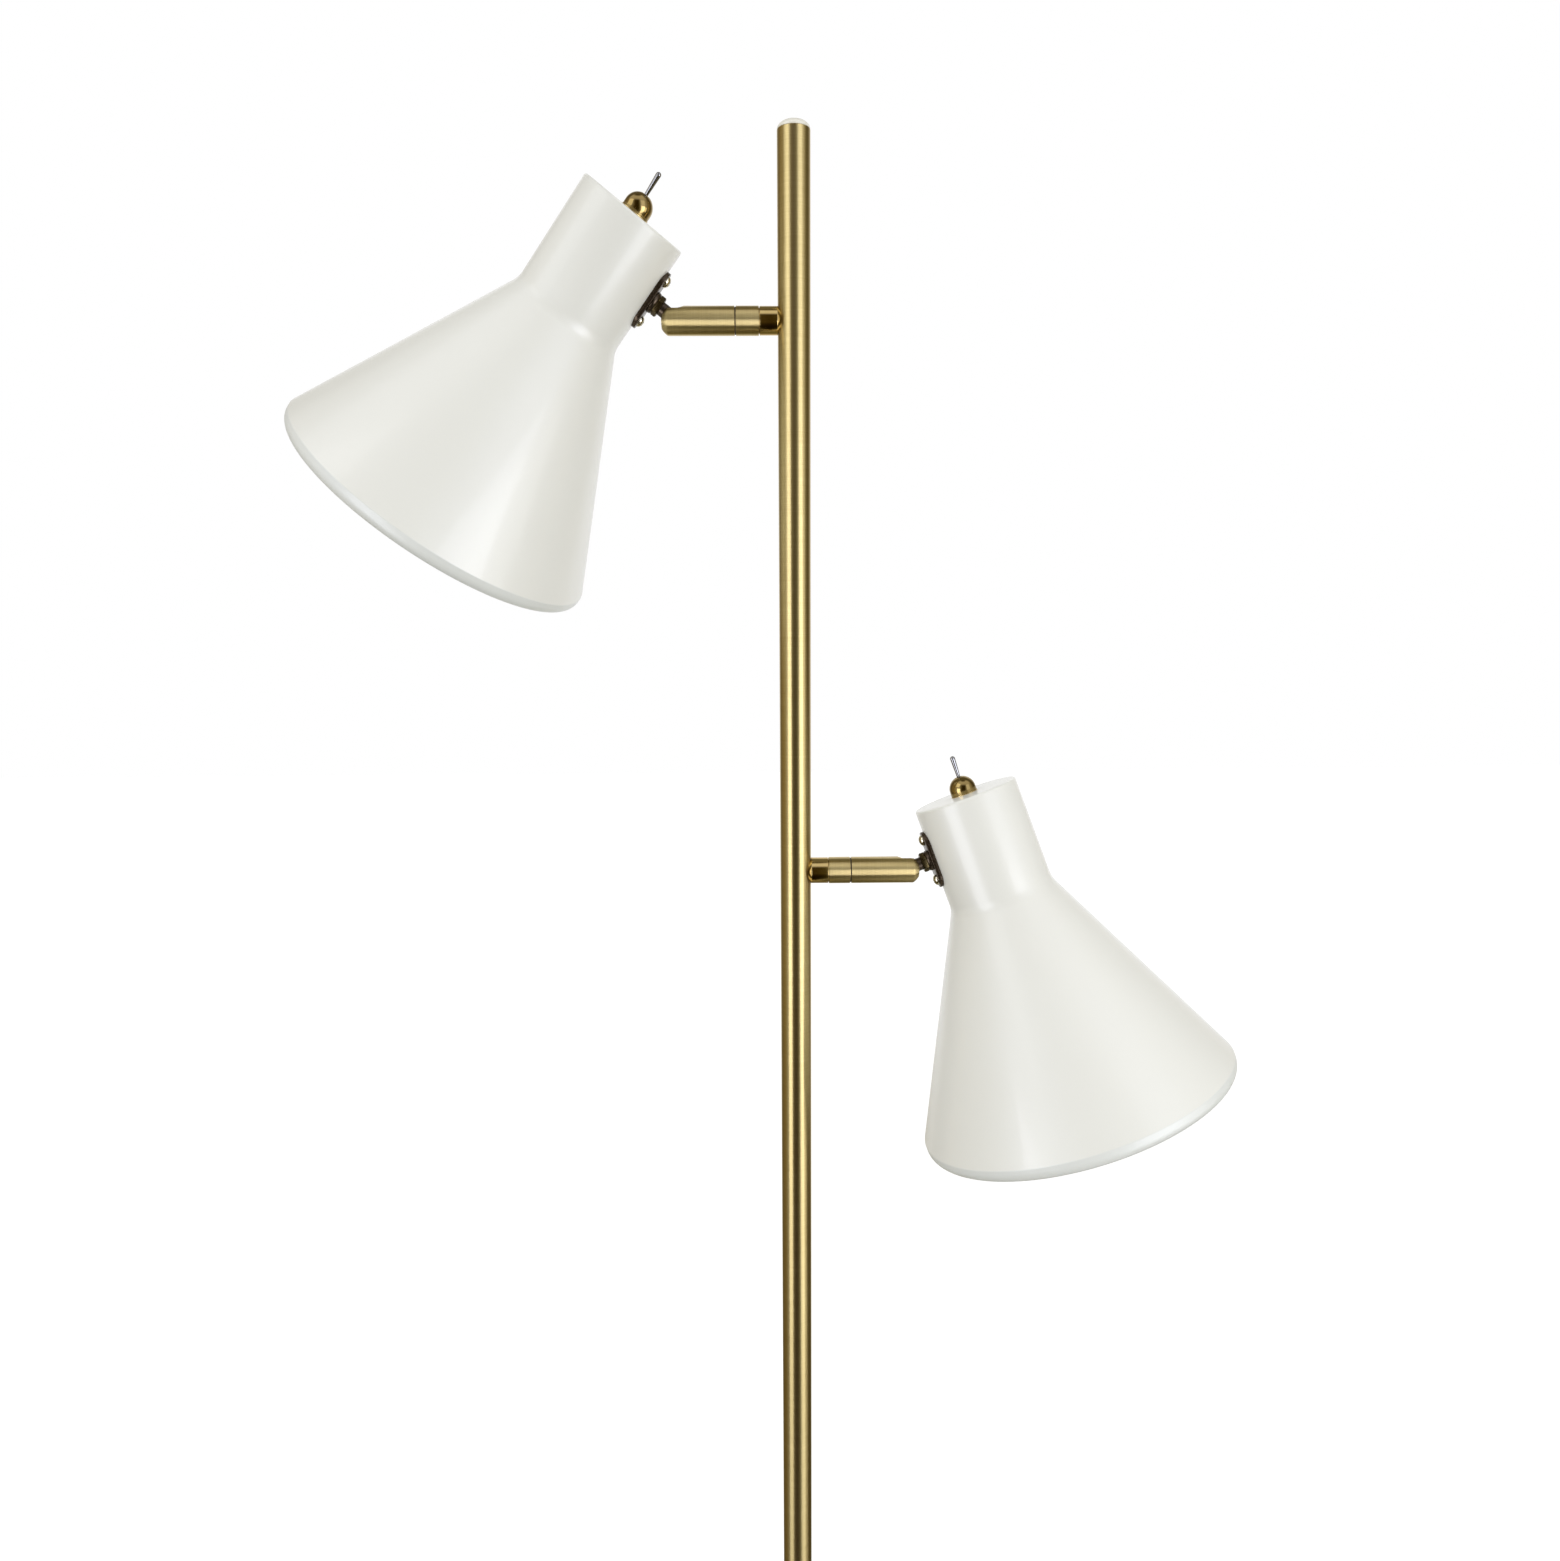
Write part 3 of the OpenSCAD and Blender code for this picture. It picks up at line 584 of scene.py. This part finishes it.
FINISH_OF_SLOT = {
    "white_enamel": enamel(),
    "brushed_brass": brushed_brass(),
    "polished_brass": polished_brass("polished_brass", (0.66, 0.51, 0.23), (0.52, 0.36, 0.13)),
    "dark_bronze": dark_bronze(),
    "olive_brass": olive_brass(),
    "raw_brass": bright_metal("raw_brass", (0.58, 0.44, 0.20), (0.72, 0.58, 0.30), 0.26),
    "bright_screw": bright_metal("bright_screw", (0.62, 0.57, 0.43), (0.80, 0.76, 0.62), 0.16),
    "zinc_steel": bright_metal("zinc_steel", (0.50, 0.51, 0.52), (0.68, 0.68, 0.69), 0.30),
    "spring_steel": bright_metal("spring_steel", (0.28, 0.29, 0.31), (0.42, 0.43, 0.45), 0.28),
    "chrome": bright_metal("chrome", (0.27, 0.27, 0.275), (0.38, 0.38, 0.385), 0.09),
    "bulb_cap_metal": bright_metal("bulb_cap_metal", (0.62, 0.62, 0.63), (0.76, 0.76, 0.77), 0.24),
    "ivory_gloss": moulded("ivory_gloss", (0.82, 0.79, 0.70), (0.88, 0.86, 0.78), 0.28, coat=0.5),
    "black_plastic": moulded("black_plastic", (0.018, 0.018, 0.018), (0.035, 0.035, 0.034), 0.42),
    "black_felt": moulded("black_foam", (0.020, 0.020, 0.020), (0.045, 0.045, 0.043), 0.80),
    "lead_sheath": moulded("lead_sheath", (0.03, 0.03, 0.03), (0.05, 0.05, 0.05), 0.50),
    "pale_lead": moulded("pale_lead", (0.66, 0.64, 0.56), (0.78, 0.76, 0.68), 0.45),
    "friction_fibre": moulded("friction_fibre", (0.03, 0.022, 0.016), (0.06, 0.048, 0.036), 0.7),
    "opal_glass": opal_glass(),
    "cast_weight": cast_iron(),
}
# Painted shade: a darker copy of the polished brass, for the domed nuts, standing in for the dark reflections
# they show
DOME_BRASS_PAINTED_SHADE = polished_brass("dome_brass_painted_shade", (0.38, 0.28, 0.11), (0.23, 0.155, 0.055))

for node_name, node in frame["nodes"].items():
    node.data.materials.clear()
    node.data.materials.append(FINISH_OF_SLOT[SLOT_OF[node_name]])


def finish_piece(obj, body, node, finish=None):
    """Smooths the piece, gives it a finish or its node's own, and sets it on its body."""
    sharp_angle = 42
    obj.data.shade_smooth()
    obj.data.set_sharp_from_angle(angle=math.radians(sharp_angle))
    obj.data.materials.clear()
    obj.data.materials.append(finish or FINISH_OF_SLOT[SLOT_OF[node]])
    bpy.context.view_layer.update()
    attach(obj, body)
    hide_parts(node)


def turned_piece(node, outline, place, body, steps=96, closed=True, finish=None):
    """A turned piece that stands for its node."""
    obj = loose(node + "_piece", turned_mesh(node, outline, steps, closed), place)
    finish_piece(obj, body, node, finish)


# ---- Stand ----

def pole_cap():
    spigot_r = POLE_BORE_R - FIT_GAP
    outline = [
        (0, -CAP_SPIGOT_L), (spigot_r, -CAP_SPIGOT_L), (spigot_r, CAP_SEAT),
        (POLE_R - POLE_EDGE, CAP_SEAT), (POLE_R - CAP_CHAMFER, CAP_SEAT + CAP_CHAMFER),
    ]
    dome = oval(0, CAP_EDGE, POLE_R, CAP_RISE - CAP_EDGE, 0, 90, 15)
    turned_piece("pole_cap", outline + dome[1:], shift(0, 0, POLE_TOP), "stand", closed=False)


def pole_tube(node, low, high):
    """Pole tube; the upper one has a hole for each arm."""
    outline = softened([(POLE_BORE_R, low), (POLE_R, low), (POLE_R, high), (POLE_BORE_R, high)], POLE_EDGE)
    obj = loose(node + "_piece", turned_mesh(node, outline, 128), ORIGIN)
    if node == "upper_pole":
        for side in SIDES:
            cut(obj, rod_mesh(ARM_BORE_R, 0, POLE_R + PAST, steps=48), arm_place(side) @ ALONG_X)
    finish_piece(obj, "stand", node)


def foot_collar():
    """Turned collar with a cove, round the foot of the pole."""
    bore = POLE_R + FIT_GAP
    shoulder_r = FOOT_COLLAR_R - FOOT_COLLAR_CHAMFER
    shoulder_z = FOOT_TOP + FOOT_COLLAR_BAND + FOOT_COLLAR_CHAMFER
    top = FOOT_TOP + FOOT_COLLAR_H
    cove_h = top - FOOT_COLLAR_BAND - shoulder_z
    top_chamfer = FOOT_COLLAR_CHAMFER / 2
    outline = [(bore, FOOT_TOP), (FOOT_COLLAR_R, FOOT_TOP), (FOOT_COLLAR_R, FOOT_TOP + FOOT_COLLAR_BAND)]
    outline += [(shoulder_r, shoulder_z)]
    outline += oval(shoulder_r, shoulder_z + cove_h, shoulder_r - FOOT_COLLAR_NECK_R, cove_h, -90, -180, 15)
    outline += [(FOOT_COLLAR_NECK_R, top - top_chamfer), (FOOT_COLLAR_NECK_R - top_chamfer, top), (bore, top)]
    turned_piece("foot_collar", softened(outline, 0.4), ORIGIN, "stand", steps=128)


def foot_cover():
    """Spun cover with a rounded shoulder and a hole for the gland."""
    bore = POLE_R + FIT_GAP
    rim_z = PAD_T + COVER_GAP
    under = FOOT_TOP - FOOT_WALL
    bend_x, bend_z = FOOT_R - FOOT_BEND_R, PAD_T + FOOT_RIM_H
    outline = [(FOOT_R, rim_z)] + arc(bend_x, bend_z, FOOT_BEND_R, 0, FOOT_BEND_ANGLE, 14)
    outline += [(FOOT_BOSS_R, FOOT_TOP), (bore, FOOT_TOP), (bore, under), (FOOT_BOSS_R, under)]
    outline += arc(bend_x, bend_z, FOOT_BEND_R - FOOT_WALL, FOOT_BEND_ANGLE, 0, 14)
    outline += [(FOOT_R - FOOT_WALL, rim_z)]
    obj = loose("foot_cover_piece", turned_mesh("foot_cover", softened(outline, 0.3), 256), ORIGIN)
    reach = FOOT_WALL + PAST
    cut(obj, rod_mesh(GLAND_HOLE_R, -reach, reach), shift(0, FOOT_R, GLAND_Z) @ turn(90, "X"))
    finish_piece(obj, "stand", "foot_cover")


def foot_pad():
    radius = FOOT_R - PAD_INSET
    outline = softened([(0, 0), (radius, 0), (radius, PAD_T), (0, PAD_T)], 0.5, closed=False)
    turned_piece("foot_pad", outline, ORIGIN, "stand", steps=192, closed=False)


def cord_gland():
    """Flanged bush in the cover's rim, where a cord would leave."""
    outline = softened([
        (GLAND_BORE_R, 0), (GLAND_R, 0), (GLAND_R, GLAND_HEAD_START), (GLAND_HEAD_R, GLAND_HEAD_START),
        (GLAND_HEAD_R, GLAND_L - GLAND_EDGE), (GLAND_HEAD_R - GLAND_EDGE, GLAND_L),
        (GLAND_BORE_R + GLAND_MOUTH, GLAND_L), (GLAND_BORE_R, GLAND_L - GLAND_MOUTH_L),
    ], 0.2)
    place = shift(0, FOOT_R - GLAND_INSET, GLAND_Z) @ turn(-90, "X")
    turned_piece("cord_gland", outline, place, "stand", steps=64)


# ---- Arms ----

def arm_base(side):
    """Bevelled sleeve with a saddle that fits the pole."""
    bevel_start = BASE_EDGE - (BASE_R - ARM_BORE_R) / BASE_SLOPE
    outline = softened([
        (ARM_BORE_R, bevel_start), (BASE_R, BASE_EDGE), (BASE_R, BASE_END), (ARM_BORE_R, BASE_END),
    ], 0.3)
    obj = loose(f"{side}_arm_base_piece", turned_mesh("arm_base", outline, 128), arm_place(side) @ ALONG_X)
    reach = BASE_R + PAST
    cut(obj, rod_mesh(POLE_R + FIT_GAP, -reach, reach, steps=160), arm_place(side))
    bevel(obj, 0.25, angle=40)
    finish_piece(obj, "stand", f"{side}_arm_base")


def arm_ring(side):
    step_r = BASE_R - RING_STEP
    back = RING_START - RING_STEP_L
    outline = softened([
        (ARM_BORE_R, back), (step_r, back), (step_r, RING_START), (ARM_R, RING_START),
        (ARM_R, RING_END), (ARM_BORE_R, RING_END),
    ], 0.35)
    turned_piece(f"{side}_arm_ring", outline, arm_place(side) @ ALONG_X, "stand", steps=128)


def barrel(side):
    """Slotted barrel with a rounded nose and a round seat behind it."""
    half = SLOT_W / 2
    corner = math.degrees(math.asin(ARM_R / NOSE_R))
    mouth = math.degrees(math.asin((half + MOUTH_EDGE) / NOSE_R))
    nose_start = BALL_X + NOSE_R * math.cos(math.radians(corner))
    nose_end = BALL_X + NOSE_R * math.cos(math.radians(mouth))
    seat_x = BALL_X + math.sqrt(SEAT_R ** 2 - half ** 2)
    seat_angle = math.degrees(math.asin(half / SEAT_R))
    outer = [(ARM_BORE_R, BARREL_START), (ARM_R, BARREL_START), (ARM_R, nose_start - NOSE_BLEND_L)]
    nose = arc(0, BALL_X, NOSE_R, 90 - corner + NOSE_BLEND_ANGLE, 90 - mouth, 12)
    front = [(half, nose_end), (half, seat_x)]
    seat = arc(0, BALL_X, SEAT_R, 90 - seat_angle, 0, 8)[1:]
    back = [(SEAT_R, BARREL_BACK), (ARM_BORE_R, BARREL_BACK)]
    outline = softened(outer + nose + front, 0.3) + seat + back
    obj = loose(f"{side}_barrel_piece", turned_mesh("barrel", outline, 160), barrel_place(side) @ ALONG_X)
    slot = arc(SLOT_BACK + half, 0, half, 90, 270, 24) + [(nose_end + PAST, -half), (nose_end + PAST, half)]
    cut(obj, slab_mesh("slot", slot, 0, ARM_R + PAST), barrel_place(side))
    bevel(obj, 0.22, angle=40)
    finish_piece(obj, f"{side}_arm", f"{side}_barrel")


def ball_stem(side):
    """Ball with a funnel at its back, and the hollow stem that it carries."""
    ball_back = -BALL_R * math.sin(math.radians(BALL_BACK_ANGLE))
    ball_front_angle = math.degrees(math.acos(STEM_R / BALL_R))
    outline = [(STEM_BORE, ball_back + STEM_FUNNEL_L)]
    outline += arc(0, 0, BALL_R, -BALL_BACK_ANGLE, ball_front_angle, 20)
    outline += [(STEM_R, NUT_START), (SPIGOT_R, NUT_START), (SPIGOT_R, STEM_END), (STEM_BORE, STEM_END)]
    turned_piece(f"{side}_ball_stem", softened(outline, 0.25), stem_place(side) @ ALONG_X, f"{side}_stem")


def stem_nut(side):
    """Hexagon nut with chamfered corners at its back."""
    flat = NUT_FLATS / 2
    corner = flat / math.cos(math.radians(30))
    place = stem_place(side) @ ALONG_X
    hexagon = arc(0, 0, corner, 0, 300, 5)
    obj = loose(f"{side}_stem_nut_piece", slab_mesh("stem_nut", hexagon, NUT_START, NUT_END), place)
    full_r, front = flat + NUT_CHAMFER_R, NUT_END + 0.01
    chamfer = [
        (0, NUT_START), (flat, NUT_START), (full_r, NUT_START + NUT_CHAMFER_L), (full_r, front), (0, front),
    ]
    cut(obj, turned_mesh("chamfer", chamfer, closed=False), place, keep_common=True)
    cut(obj, rod_mesh(SPIGOT_R, NUT_START - PAST, NUT_END + PAST), place)
    bevel(obj, 0.12, angle=25)
    finish_piece(obj, f"{side}_stem", f"{side}_stem_nut")


def stem_collar(side):
    """Domed collar between the nut and the side plate."""
    bore = SPIGOT_R + FIT_GAP
    rise = (PLATE_FACE - COLLAR_START) * COLLAR_BULGE
    outline = [(bore, COLLAR_START)]
    outline += oval(COLLAR_NOSE_R, COLLAR_START + rise, COLLAR_R - COLLAR_NOSE_R, rise, -90, 0, 10)
    outline += [(COLLAR_R, PLATE_FACE), (bore, PLATE_FACE)]
    turned_piece(f"{side}_stem_collar", softened(outline, 0.15), stem_place(side) @ ALONG_X, f"{side}_head")


# ---- Heads ----

def side_plate(side):
    """Round-ended plate, hollowed behind to fit the shade's neck."""
    end_r = PLATE_W / 2
    run = PLATE_L / 2 - end_r
    outline = arc(-run, 0, end_r, 90, 270, 24) + arc(run, 0, end_r, -90, 90, 24)
    mesh = slab_mesh("side_plate", outline, PLATE_FACE, PLATE_FACE + PLATE_BLOCK)
    obj = loose(f"{side}_side_plate_piece", mesh, stem_place(side) @ ALONG_X)
    reach = PLATE_L / 2 + PAST
    cut(obj, rod_mesh(NECK_R, -reach, reach, steps=256), stem_place(side) @ shift(SHADE_X, 0, 0))
    bevel(obj, 0.3, angle=35)
    finish_piece(obj, f"{side}_head", f"{side}_side_plate")


def plate_screw(place):
    """Mesh of one pan-head screw with a crossed recess, its head's seat at the origin."""
    shank_l = SCREW_END - PLATE_FACE
    outline = [(0, shank_l), (SCREW_R, shank_l), (SCREW_R, 0)]
    outline += oval(0, 0, SCREW_HEAD_R, SCREW_HEAD_H, 0, -90, 10)
    screw = loose("screw", turned_mesh("screw", outline, 64, closed=False), place)
    x, y = RECESS_L / 2, RECESS_W / 2
    blade = [(-x, -y), (x, -y), (x, y), (-x, y)]
    for angle in (45, 135):
        slot = slab_mesh("blade", blade, -SCREW_HEAD_H - PAST, -SCREW_HEAD_H + RECESS_DEPTH)
        cut(screw, slot, place @ turn(angle, "Z"))
    bevel(screw, 0.1, angle=35, segments=2)
    mesh = screw.data
    bpy.data.objects.remove(screw)
    return mesh


def plate_screws(side):
    """The two screws of one side plate, as one piece."""
    home = stem_place(side)
    bm = bmesh.new()
    for end in (-1, 1):
        place = home @ shift(PLATE_FACE, 0, end * SCREW_PITCH / 2) @ ALONG_X
        mesh = plate_screw(place)
        mesh.transform(home.inverted() @ place)
        bm.from_mesh(mesh)
    both = bpy.data.meshes.new("plate_screws")
    bm.to_mesh(both)
    bm.free()
    obj = loose(f"{side}_plate_screws_piece", both, home)
    finish_piece(obj, f"{side}_head", f"{side}_plate_screws")


def shade(side):
    """Spun shade in one piece: lid, neck, cone and rolled lip."""
    slope = math.degrees(math.atan2(MOUTH_R - NECK_R, LIP_TOP - NECK_H))
    wall_x = SHADE_T / math.cos(math.radians(slope))
    bend_x = NECK_R + BEND_R
    bend_z = -NECK_H + BEND_R * math.tan(math.radians(slope / 2))
    lip_x, lip_z = MOUTH_R - LIP_R, LIP_R - SHADE_H
    lid_r = NECK_R - LID_EDGE
    cone_x = 20
    cone_z = -NECK_H - cone_x / math.tan(math.radians(slope))
    crease = softened([
        (NECK_R + cone_x, cone_z), (MOUTH_R - LIP_STEP, -LIP_TOP), (MOUTH_R, -LIP_TOP - LIP_STEP_H),
        (MOUTH_R, lip_z),
    ], 0.5, closed=False)
    outside = [(0, 0)] + arc(lid_r, -LID_EDGE, LID_EDGE, 90, 0, 8)
    outside += arc(bend_x, bend_z, BEND_R, 180, 180 + slope, 14)
    outside += crease[1:-1] + arc(lip_x, lip_z, LIP_R, 0, -90, 18)
    inside = arc(lip_x, lip_z, LIP_R - SHADE_T, -90, 0, 18)
    inside += [(MOUTH_R - SHADE_T, -LIP_TOP - SHADE_T), (MOUTH_R - LIP_STEP - wall_x, -LIP_TOP)]
    inside += arc(bend_x, bend_z, BEND_R + SHADE_T, 180 + slope, 180, 14)
    inside += arc(lid_r, -LID_EDGE, LID_EDGE - SHADE_T, 0, 90, 3) + [(0, -SHADE_T)]
    turned_piece(f"{side}_shade", outside + inside, lid_place(side), f"{side}_head", steps=256, closed=False)


def toggle_washer(side):
    bore = BUSH_R + FIT_GAP
    rim = DOME_R + WASHER_RIM
    outline = softened([(bore, 0), (rim, 0), (rim, DOME_BASE), (bore, DOME_BASE)], 0.15)
    turned_piece(f"{side}_toggle_washer", outline, lid_place(side), f"{side}_head")


def toggle_nut(side):
    """Domed nut that holds the switch in the lid, with a hole for the lever."""
    bore = BUSH_R + FIT_GAP
    crown_z = DOME_BASE + DOME_SIDE
    hole_angle = math.degrees(math.acos(DOME_HOLE / DOME_R))
    outline = [(bore, DOME_BASE), (DOME_R, DOME_BASE)] + arc(0, crown_z, DOME_R, 0, hole_angle, 24)
    outline = softened(outline + [(DOME_HOLE, DOME_FLOOR), (bore, DOME_FLOOR)], 0.25)
    # The domed nut takes the darker copy of polished brass, which is painted shade
    turned_piece(f"{side}_toggle_nut", outline, lid_place(side), f"{side}_head", steps=128, finish=DOME_BRASS_PAINTED_SHADE)


def toggle_lever(side):
    """Bat lever: a pivot ball inside the nut, a thin root and a round tip."""
    tip = LEVER_L - LEVER_TIP_R
    ball_end = math.degrees(math.acos(LEVER_ROOT_R / LEVER_BALL_R))
    ball = arc(0, 0, LEVER_BALL_R, -90, ball_end, 16)
    outline = [(0, -LEVER_BALL_R)] + ball[1:] + [(LEVER_ROOT_R, LEVER_ROD_START)]
    outline += arc(0, tip, LEVER_TIP_R, 0, 90, 10)[:-1] + [(0, tip + LEVER_TIP_R)]
    place = lid_place(side) @ shift(0, 0, LEVER_PIVOT) @ turn(LEAN[side], "X")
    turned_piece(f"{side}_toggle_lever", outline, place, f"{side}_lever", steps=64, closed=False)


# ---- Floor, light and camera ----

# What polished metal sees round the horizon, by degrees from -Y towards +X:
# a dim warm room in front, a bright soft box to each side of it, white behind
MIRRORED = [
    (-180, (1.0, 1.0, 1.0)), (-158, (1.0, 1.0, 1.0)), (-146, (0.45, 0.42, 0.35)),
    (-132, (0.16, 0.13, 0.07)), (-118, (0.34, 0.27, 0.15)), (-88, (0.46, 0.37, 0.20)),
    (-76, (0.62, 0.56, 0.44)), (-64, (0.66, 0.68, 0.75)), (-36, (0.62, 0.64, 0.70)),
    (-28, (0.34, 0.31, 0.24)), (-17, (0.10, 0.07, 0.02)), (0, (0.05, 0.03, 0.003)),
    (10, (0.08, 0.06, 0.01)), (19, (0.30, 0.28, 0.20)), (27, (0.80, 0.85, 1.00)),
    (36, (0.85, 0.90, 1.10)), (56, (0.80, 0.84, 1.00)), (68, (0.72, 0.71, 0.68)),
    (80, (0.48, 0.44, 0.36)), (92, (0.30, 0.27, 0.18)), (104, (0.13, 0.11, 0.05)),
    (120, (0.18, 0.16, 0.10)), (134, (0.50, 0.46, 0.38)), (150, (1.0, 1.0, 1.0)), (180, (1.0, 1.0, 1.0)),
]

# How bright the same room is for matt surfaces
SOFT = [
    (-180, 1.0), (-140, 1.0), (-120, 0.8), (-95, 1.0), (-60, 1.05), (-40, 0.95), (-20, 0.95), (0, 1.0),
    (20, 1.1), (45, 1.0), (70, 1.0), (110, 0.92), (140, 1.0), (180, 1.0),
]

# How metal sees the floor fall off into the dim room, by share of FLOOR_FADE from the pole
FALL = [
    (0.0, (0.34, 0.31, 0.23)), (0.08, (0.28, 0.25, 0.16)), (0.12, (0.17, 0.15, 0.06)),
    (0.28, (0.22, 0.19, 0.09)), (0.5, (0.52, 0.48, 0.38)), (0.8, 1.0), (1.0, 1.0),
]

# What metal sees overhead in front, by the height of the direction: a bright panel, then a dark top
OVERHEAD = [
    (0.0, (0.95, 0.94, 0.98)), (0.94, (0.95, 0.94, 0.98)), (0.98, (0.20, 0.17, 0.10)),
    (1.0, (0.12, 0.10, 0.06)),
]

# In metres
FLOOR_REACH = 8.0
FLOOR_FADE = 4.0

FLOOR_GLOW = 0.35
ROOM_LEVEL = 0.79
WHITE = (1.0, 1.0, 1.0)


def floor():
    """Plain pale floor that keeps the shadow; metal sees it fall off into the dim room."""
    mesh = bpy.data.meshes.new("floor")
    corners = [(x * FLOOR_REACH, y * FLOOR_REACH, 0) for x, y in ((-1, -1), (1, -1), (1, 1), (-1, 1))]
    mesh.from_pydata(corners, [], [(0, 1, 2, 3)])
    obj = loose("floor", mesh, ORIGIN)
    n = Finish("floor")
    direct, mirrored, bounced = n.rays()
    base = n.mix(n.noise(3, detail=2), (0.80, 0.80, 0.80), (0.82, 0.82, 0.82))
    base = n.mix(bounced, base, (0.60, 0.60, 0.58))
    glow = n.maths("MULTIPLY", direct, FLOOR_GLOW)
    n.set(Base_Color=base, Roughness=0.9, Emission_Color=WHITE, Emission_Strength=glow)

    split = n.add("ShaderNodeSeparateXYZ", {0: n.coords}).outputs
    x, y = split["X"], split["Y"]
    squared = n.maths("ADD", n.maths("MULTIPLY", x, x), n.maths("MULTIPLY", y, y))
    fall = n.ramp(n.span(n.maths("SQRT", squared, 0.0), 0.0, FLOOR_FADE), FALL)
    shown = n.mix(1.0, n.around(x, y, MIRRORED), fall, mode="MULTIPLY")
    image = n.add("ShaderNodeEmission", {0: shown, 1: 1.0})
    n.put(n.tree.nodes["Material Output"].inputs[0], n.either(mirrored, n.shader, image).outputs[0])
    obj.data.materials.append(n.material)


def world():
    """White studio; metal sees soft boxes, a dim room in front and a high panel."""
    studio = bpy.data.worlds.new("studio")
    bpy.context.scene.world = studio
    studio.use_nodes = True
    studio.node_tree.nodes.clear()
    n = Tree(studio.node_tree)
    direct, mirrored, _ = n.rays()
    view = n.add("ShaderNodeTexCoord").outputs["Generated"]
    split = n.add("ShaderNodeSeparateXYZ", {0: view}).outputs
    x, y, z = split["X"], split["Y"], split["Z"]

    soft = n.mix(n.span(z, 0.35, 0.60, kind="SMOOTHSTEP"), n.around(x, y, SOFT), (1.15, 1.15, 1.13))
    overhead = n.mix(n.span(y, -0.10, 0.12), n.ramp(z, OVERHEAD), (0.22, 0.20, 0.14))
    image = n.mix(n.span(z, 0.56, 0.82, kind="SMOOTHSTEP"), n.around(x, y, MIRRORED), overhead)

    matt = n.add("ShaderNodeBackground", {0: soft, 1: ROOM_LEVEL})
    metal = n.add("ShaderNodeBackground", {0: image, 1: 1.0})
    white = n.add("ShaderNodeBackground", {0: WHITE, 1: 1.0})
    seen = n.either(direct, n.either(mirrored, matt, metal), white)
    n.add("ShaderNodeOutputWorld", {0: seen.outputs[0]})


def panel(name, place, target, width, height, power):
    """Soft rectangular lamp that faces the target; in metres and watts."""
    light = bpy.data.lights.new(name, "AREA")
    light.shape = "RECTANGLE"
    light.size = width
    light.size_y = height
    light.energy = power
    aim = (Vector(target) - Vector(place)).to_track_quat("-Z", "Y")
    return loose(name, light, Matrix.Translation(place) @ aim.to_matrix().to_4x4())


def soft_box(name, azimuth, distance, width, low, high, strength):
    """Upright soft box in front of the lamp and to one side, out of the picture."""
    angle = math.radians(azimuth)
    middle = (distance * math.sin(angle), -distance * math.cos(angle), (low + high) / 2)
    power = strength * math.pi * width * (high - low)
    return panel(name, middle, (0, 0, middle[2]), width, high - low, power)


def lamps():
    """Three weak panels, and a near and a far soft box on each side for the pole's stripes."""
    panel("key_panel", (1.5, -1.6, 2.2), (0.05, 0, 1.2), 1.2, 1.4, 3)
    panel("low_panel", (1.9, -1.0, 0.6), (-0.1, 0, 1.3), 1.2, 1.2, 8)
    panel("left_panel", (-1.5, -1.0, 2.4), (-0.1, 0, 1.3), 1.2, 1.2, 6)
    for side, azimuth in (("left", -44), ("right", 43)):
        soft_box(side + "_fill", azimuth, distance=0.72, width=0.30, low=0.74, high=1.30, strength=0.7)
        strip = soft_box(
            side + "_strip", azimuth, distance=1.5, width=0.78, low=0.22, high=1.38, strength=3.0,
        )
        strip.data.color = (1.0, 1.02, 1.16)
        strip.visible_diffuse = False


def camera():
    """The photograph's view, from a fit of the pole, arms and shades."""
    focal_px = 1135.7
    long_side_px = 1561
    x, y, z = -17.2, -581.4, POLE_TOP - 222.8
    yaw, pitch, roll = -0.903, -8.843, 0.291
    data = bpy.data.cameras.new("camera")
    data.sensor_fit = "AUTO"
    data.sensor_width = 36.0
    data.lens = focal_px * data.sensor_width / long_side_px
    data.clip_start = 0.01
    data.clip_end = 50.0
    aim = turn(yaw, "Z") @ turn(pitch, "X") @ turn(roll, "Y")
    bpy.context.scene.camera = loose("camera", data, shift(x, y, z) @ aim @ turn(90, "X"))


# ---- Build ----

pole_cap()
pole_tube("upper_pole", JOINT_Z, POLE_TOP)
pole_tube("lower_pole", FOOT_TOP, JOINT_Z)
foot_collar()
foot_cover()
foot_pad()
cord_gland()
SIDE_PIECES = (
    arm_base, arm_ring, barrel, ball_stem, stem_nut, stem_collar, side_plate, plate_screws, shade,
    toggle_washer, toggle_nut, toggle_lever,
)
for side in SIDES:
    for build in SIDE_PIECES:
        build(side)
floor()
world()
lamps()
camera()
bpy.context.scene.view_settings.view_transform = "Standard"
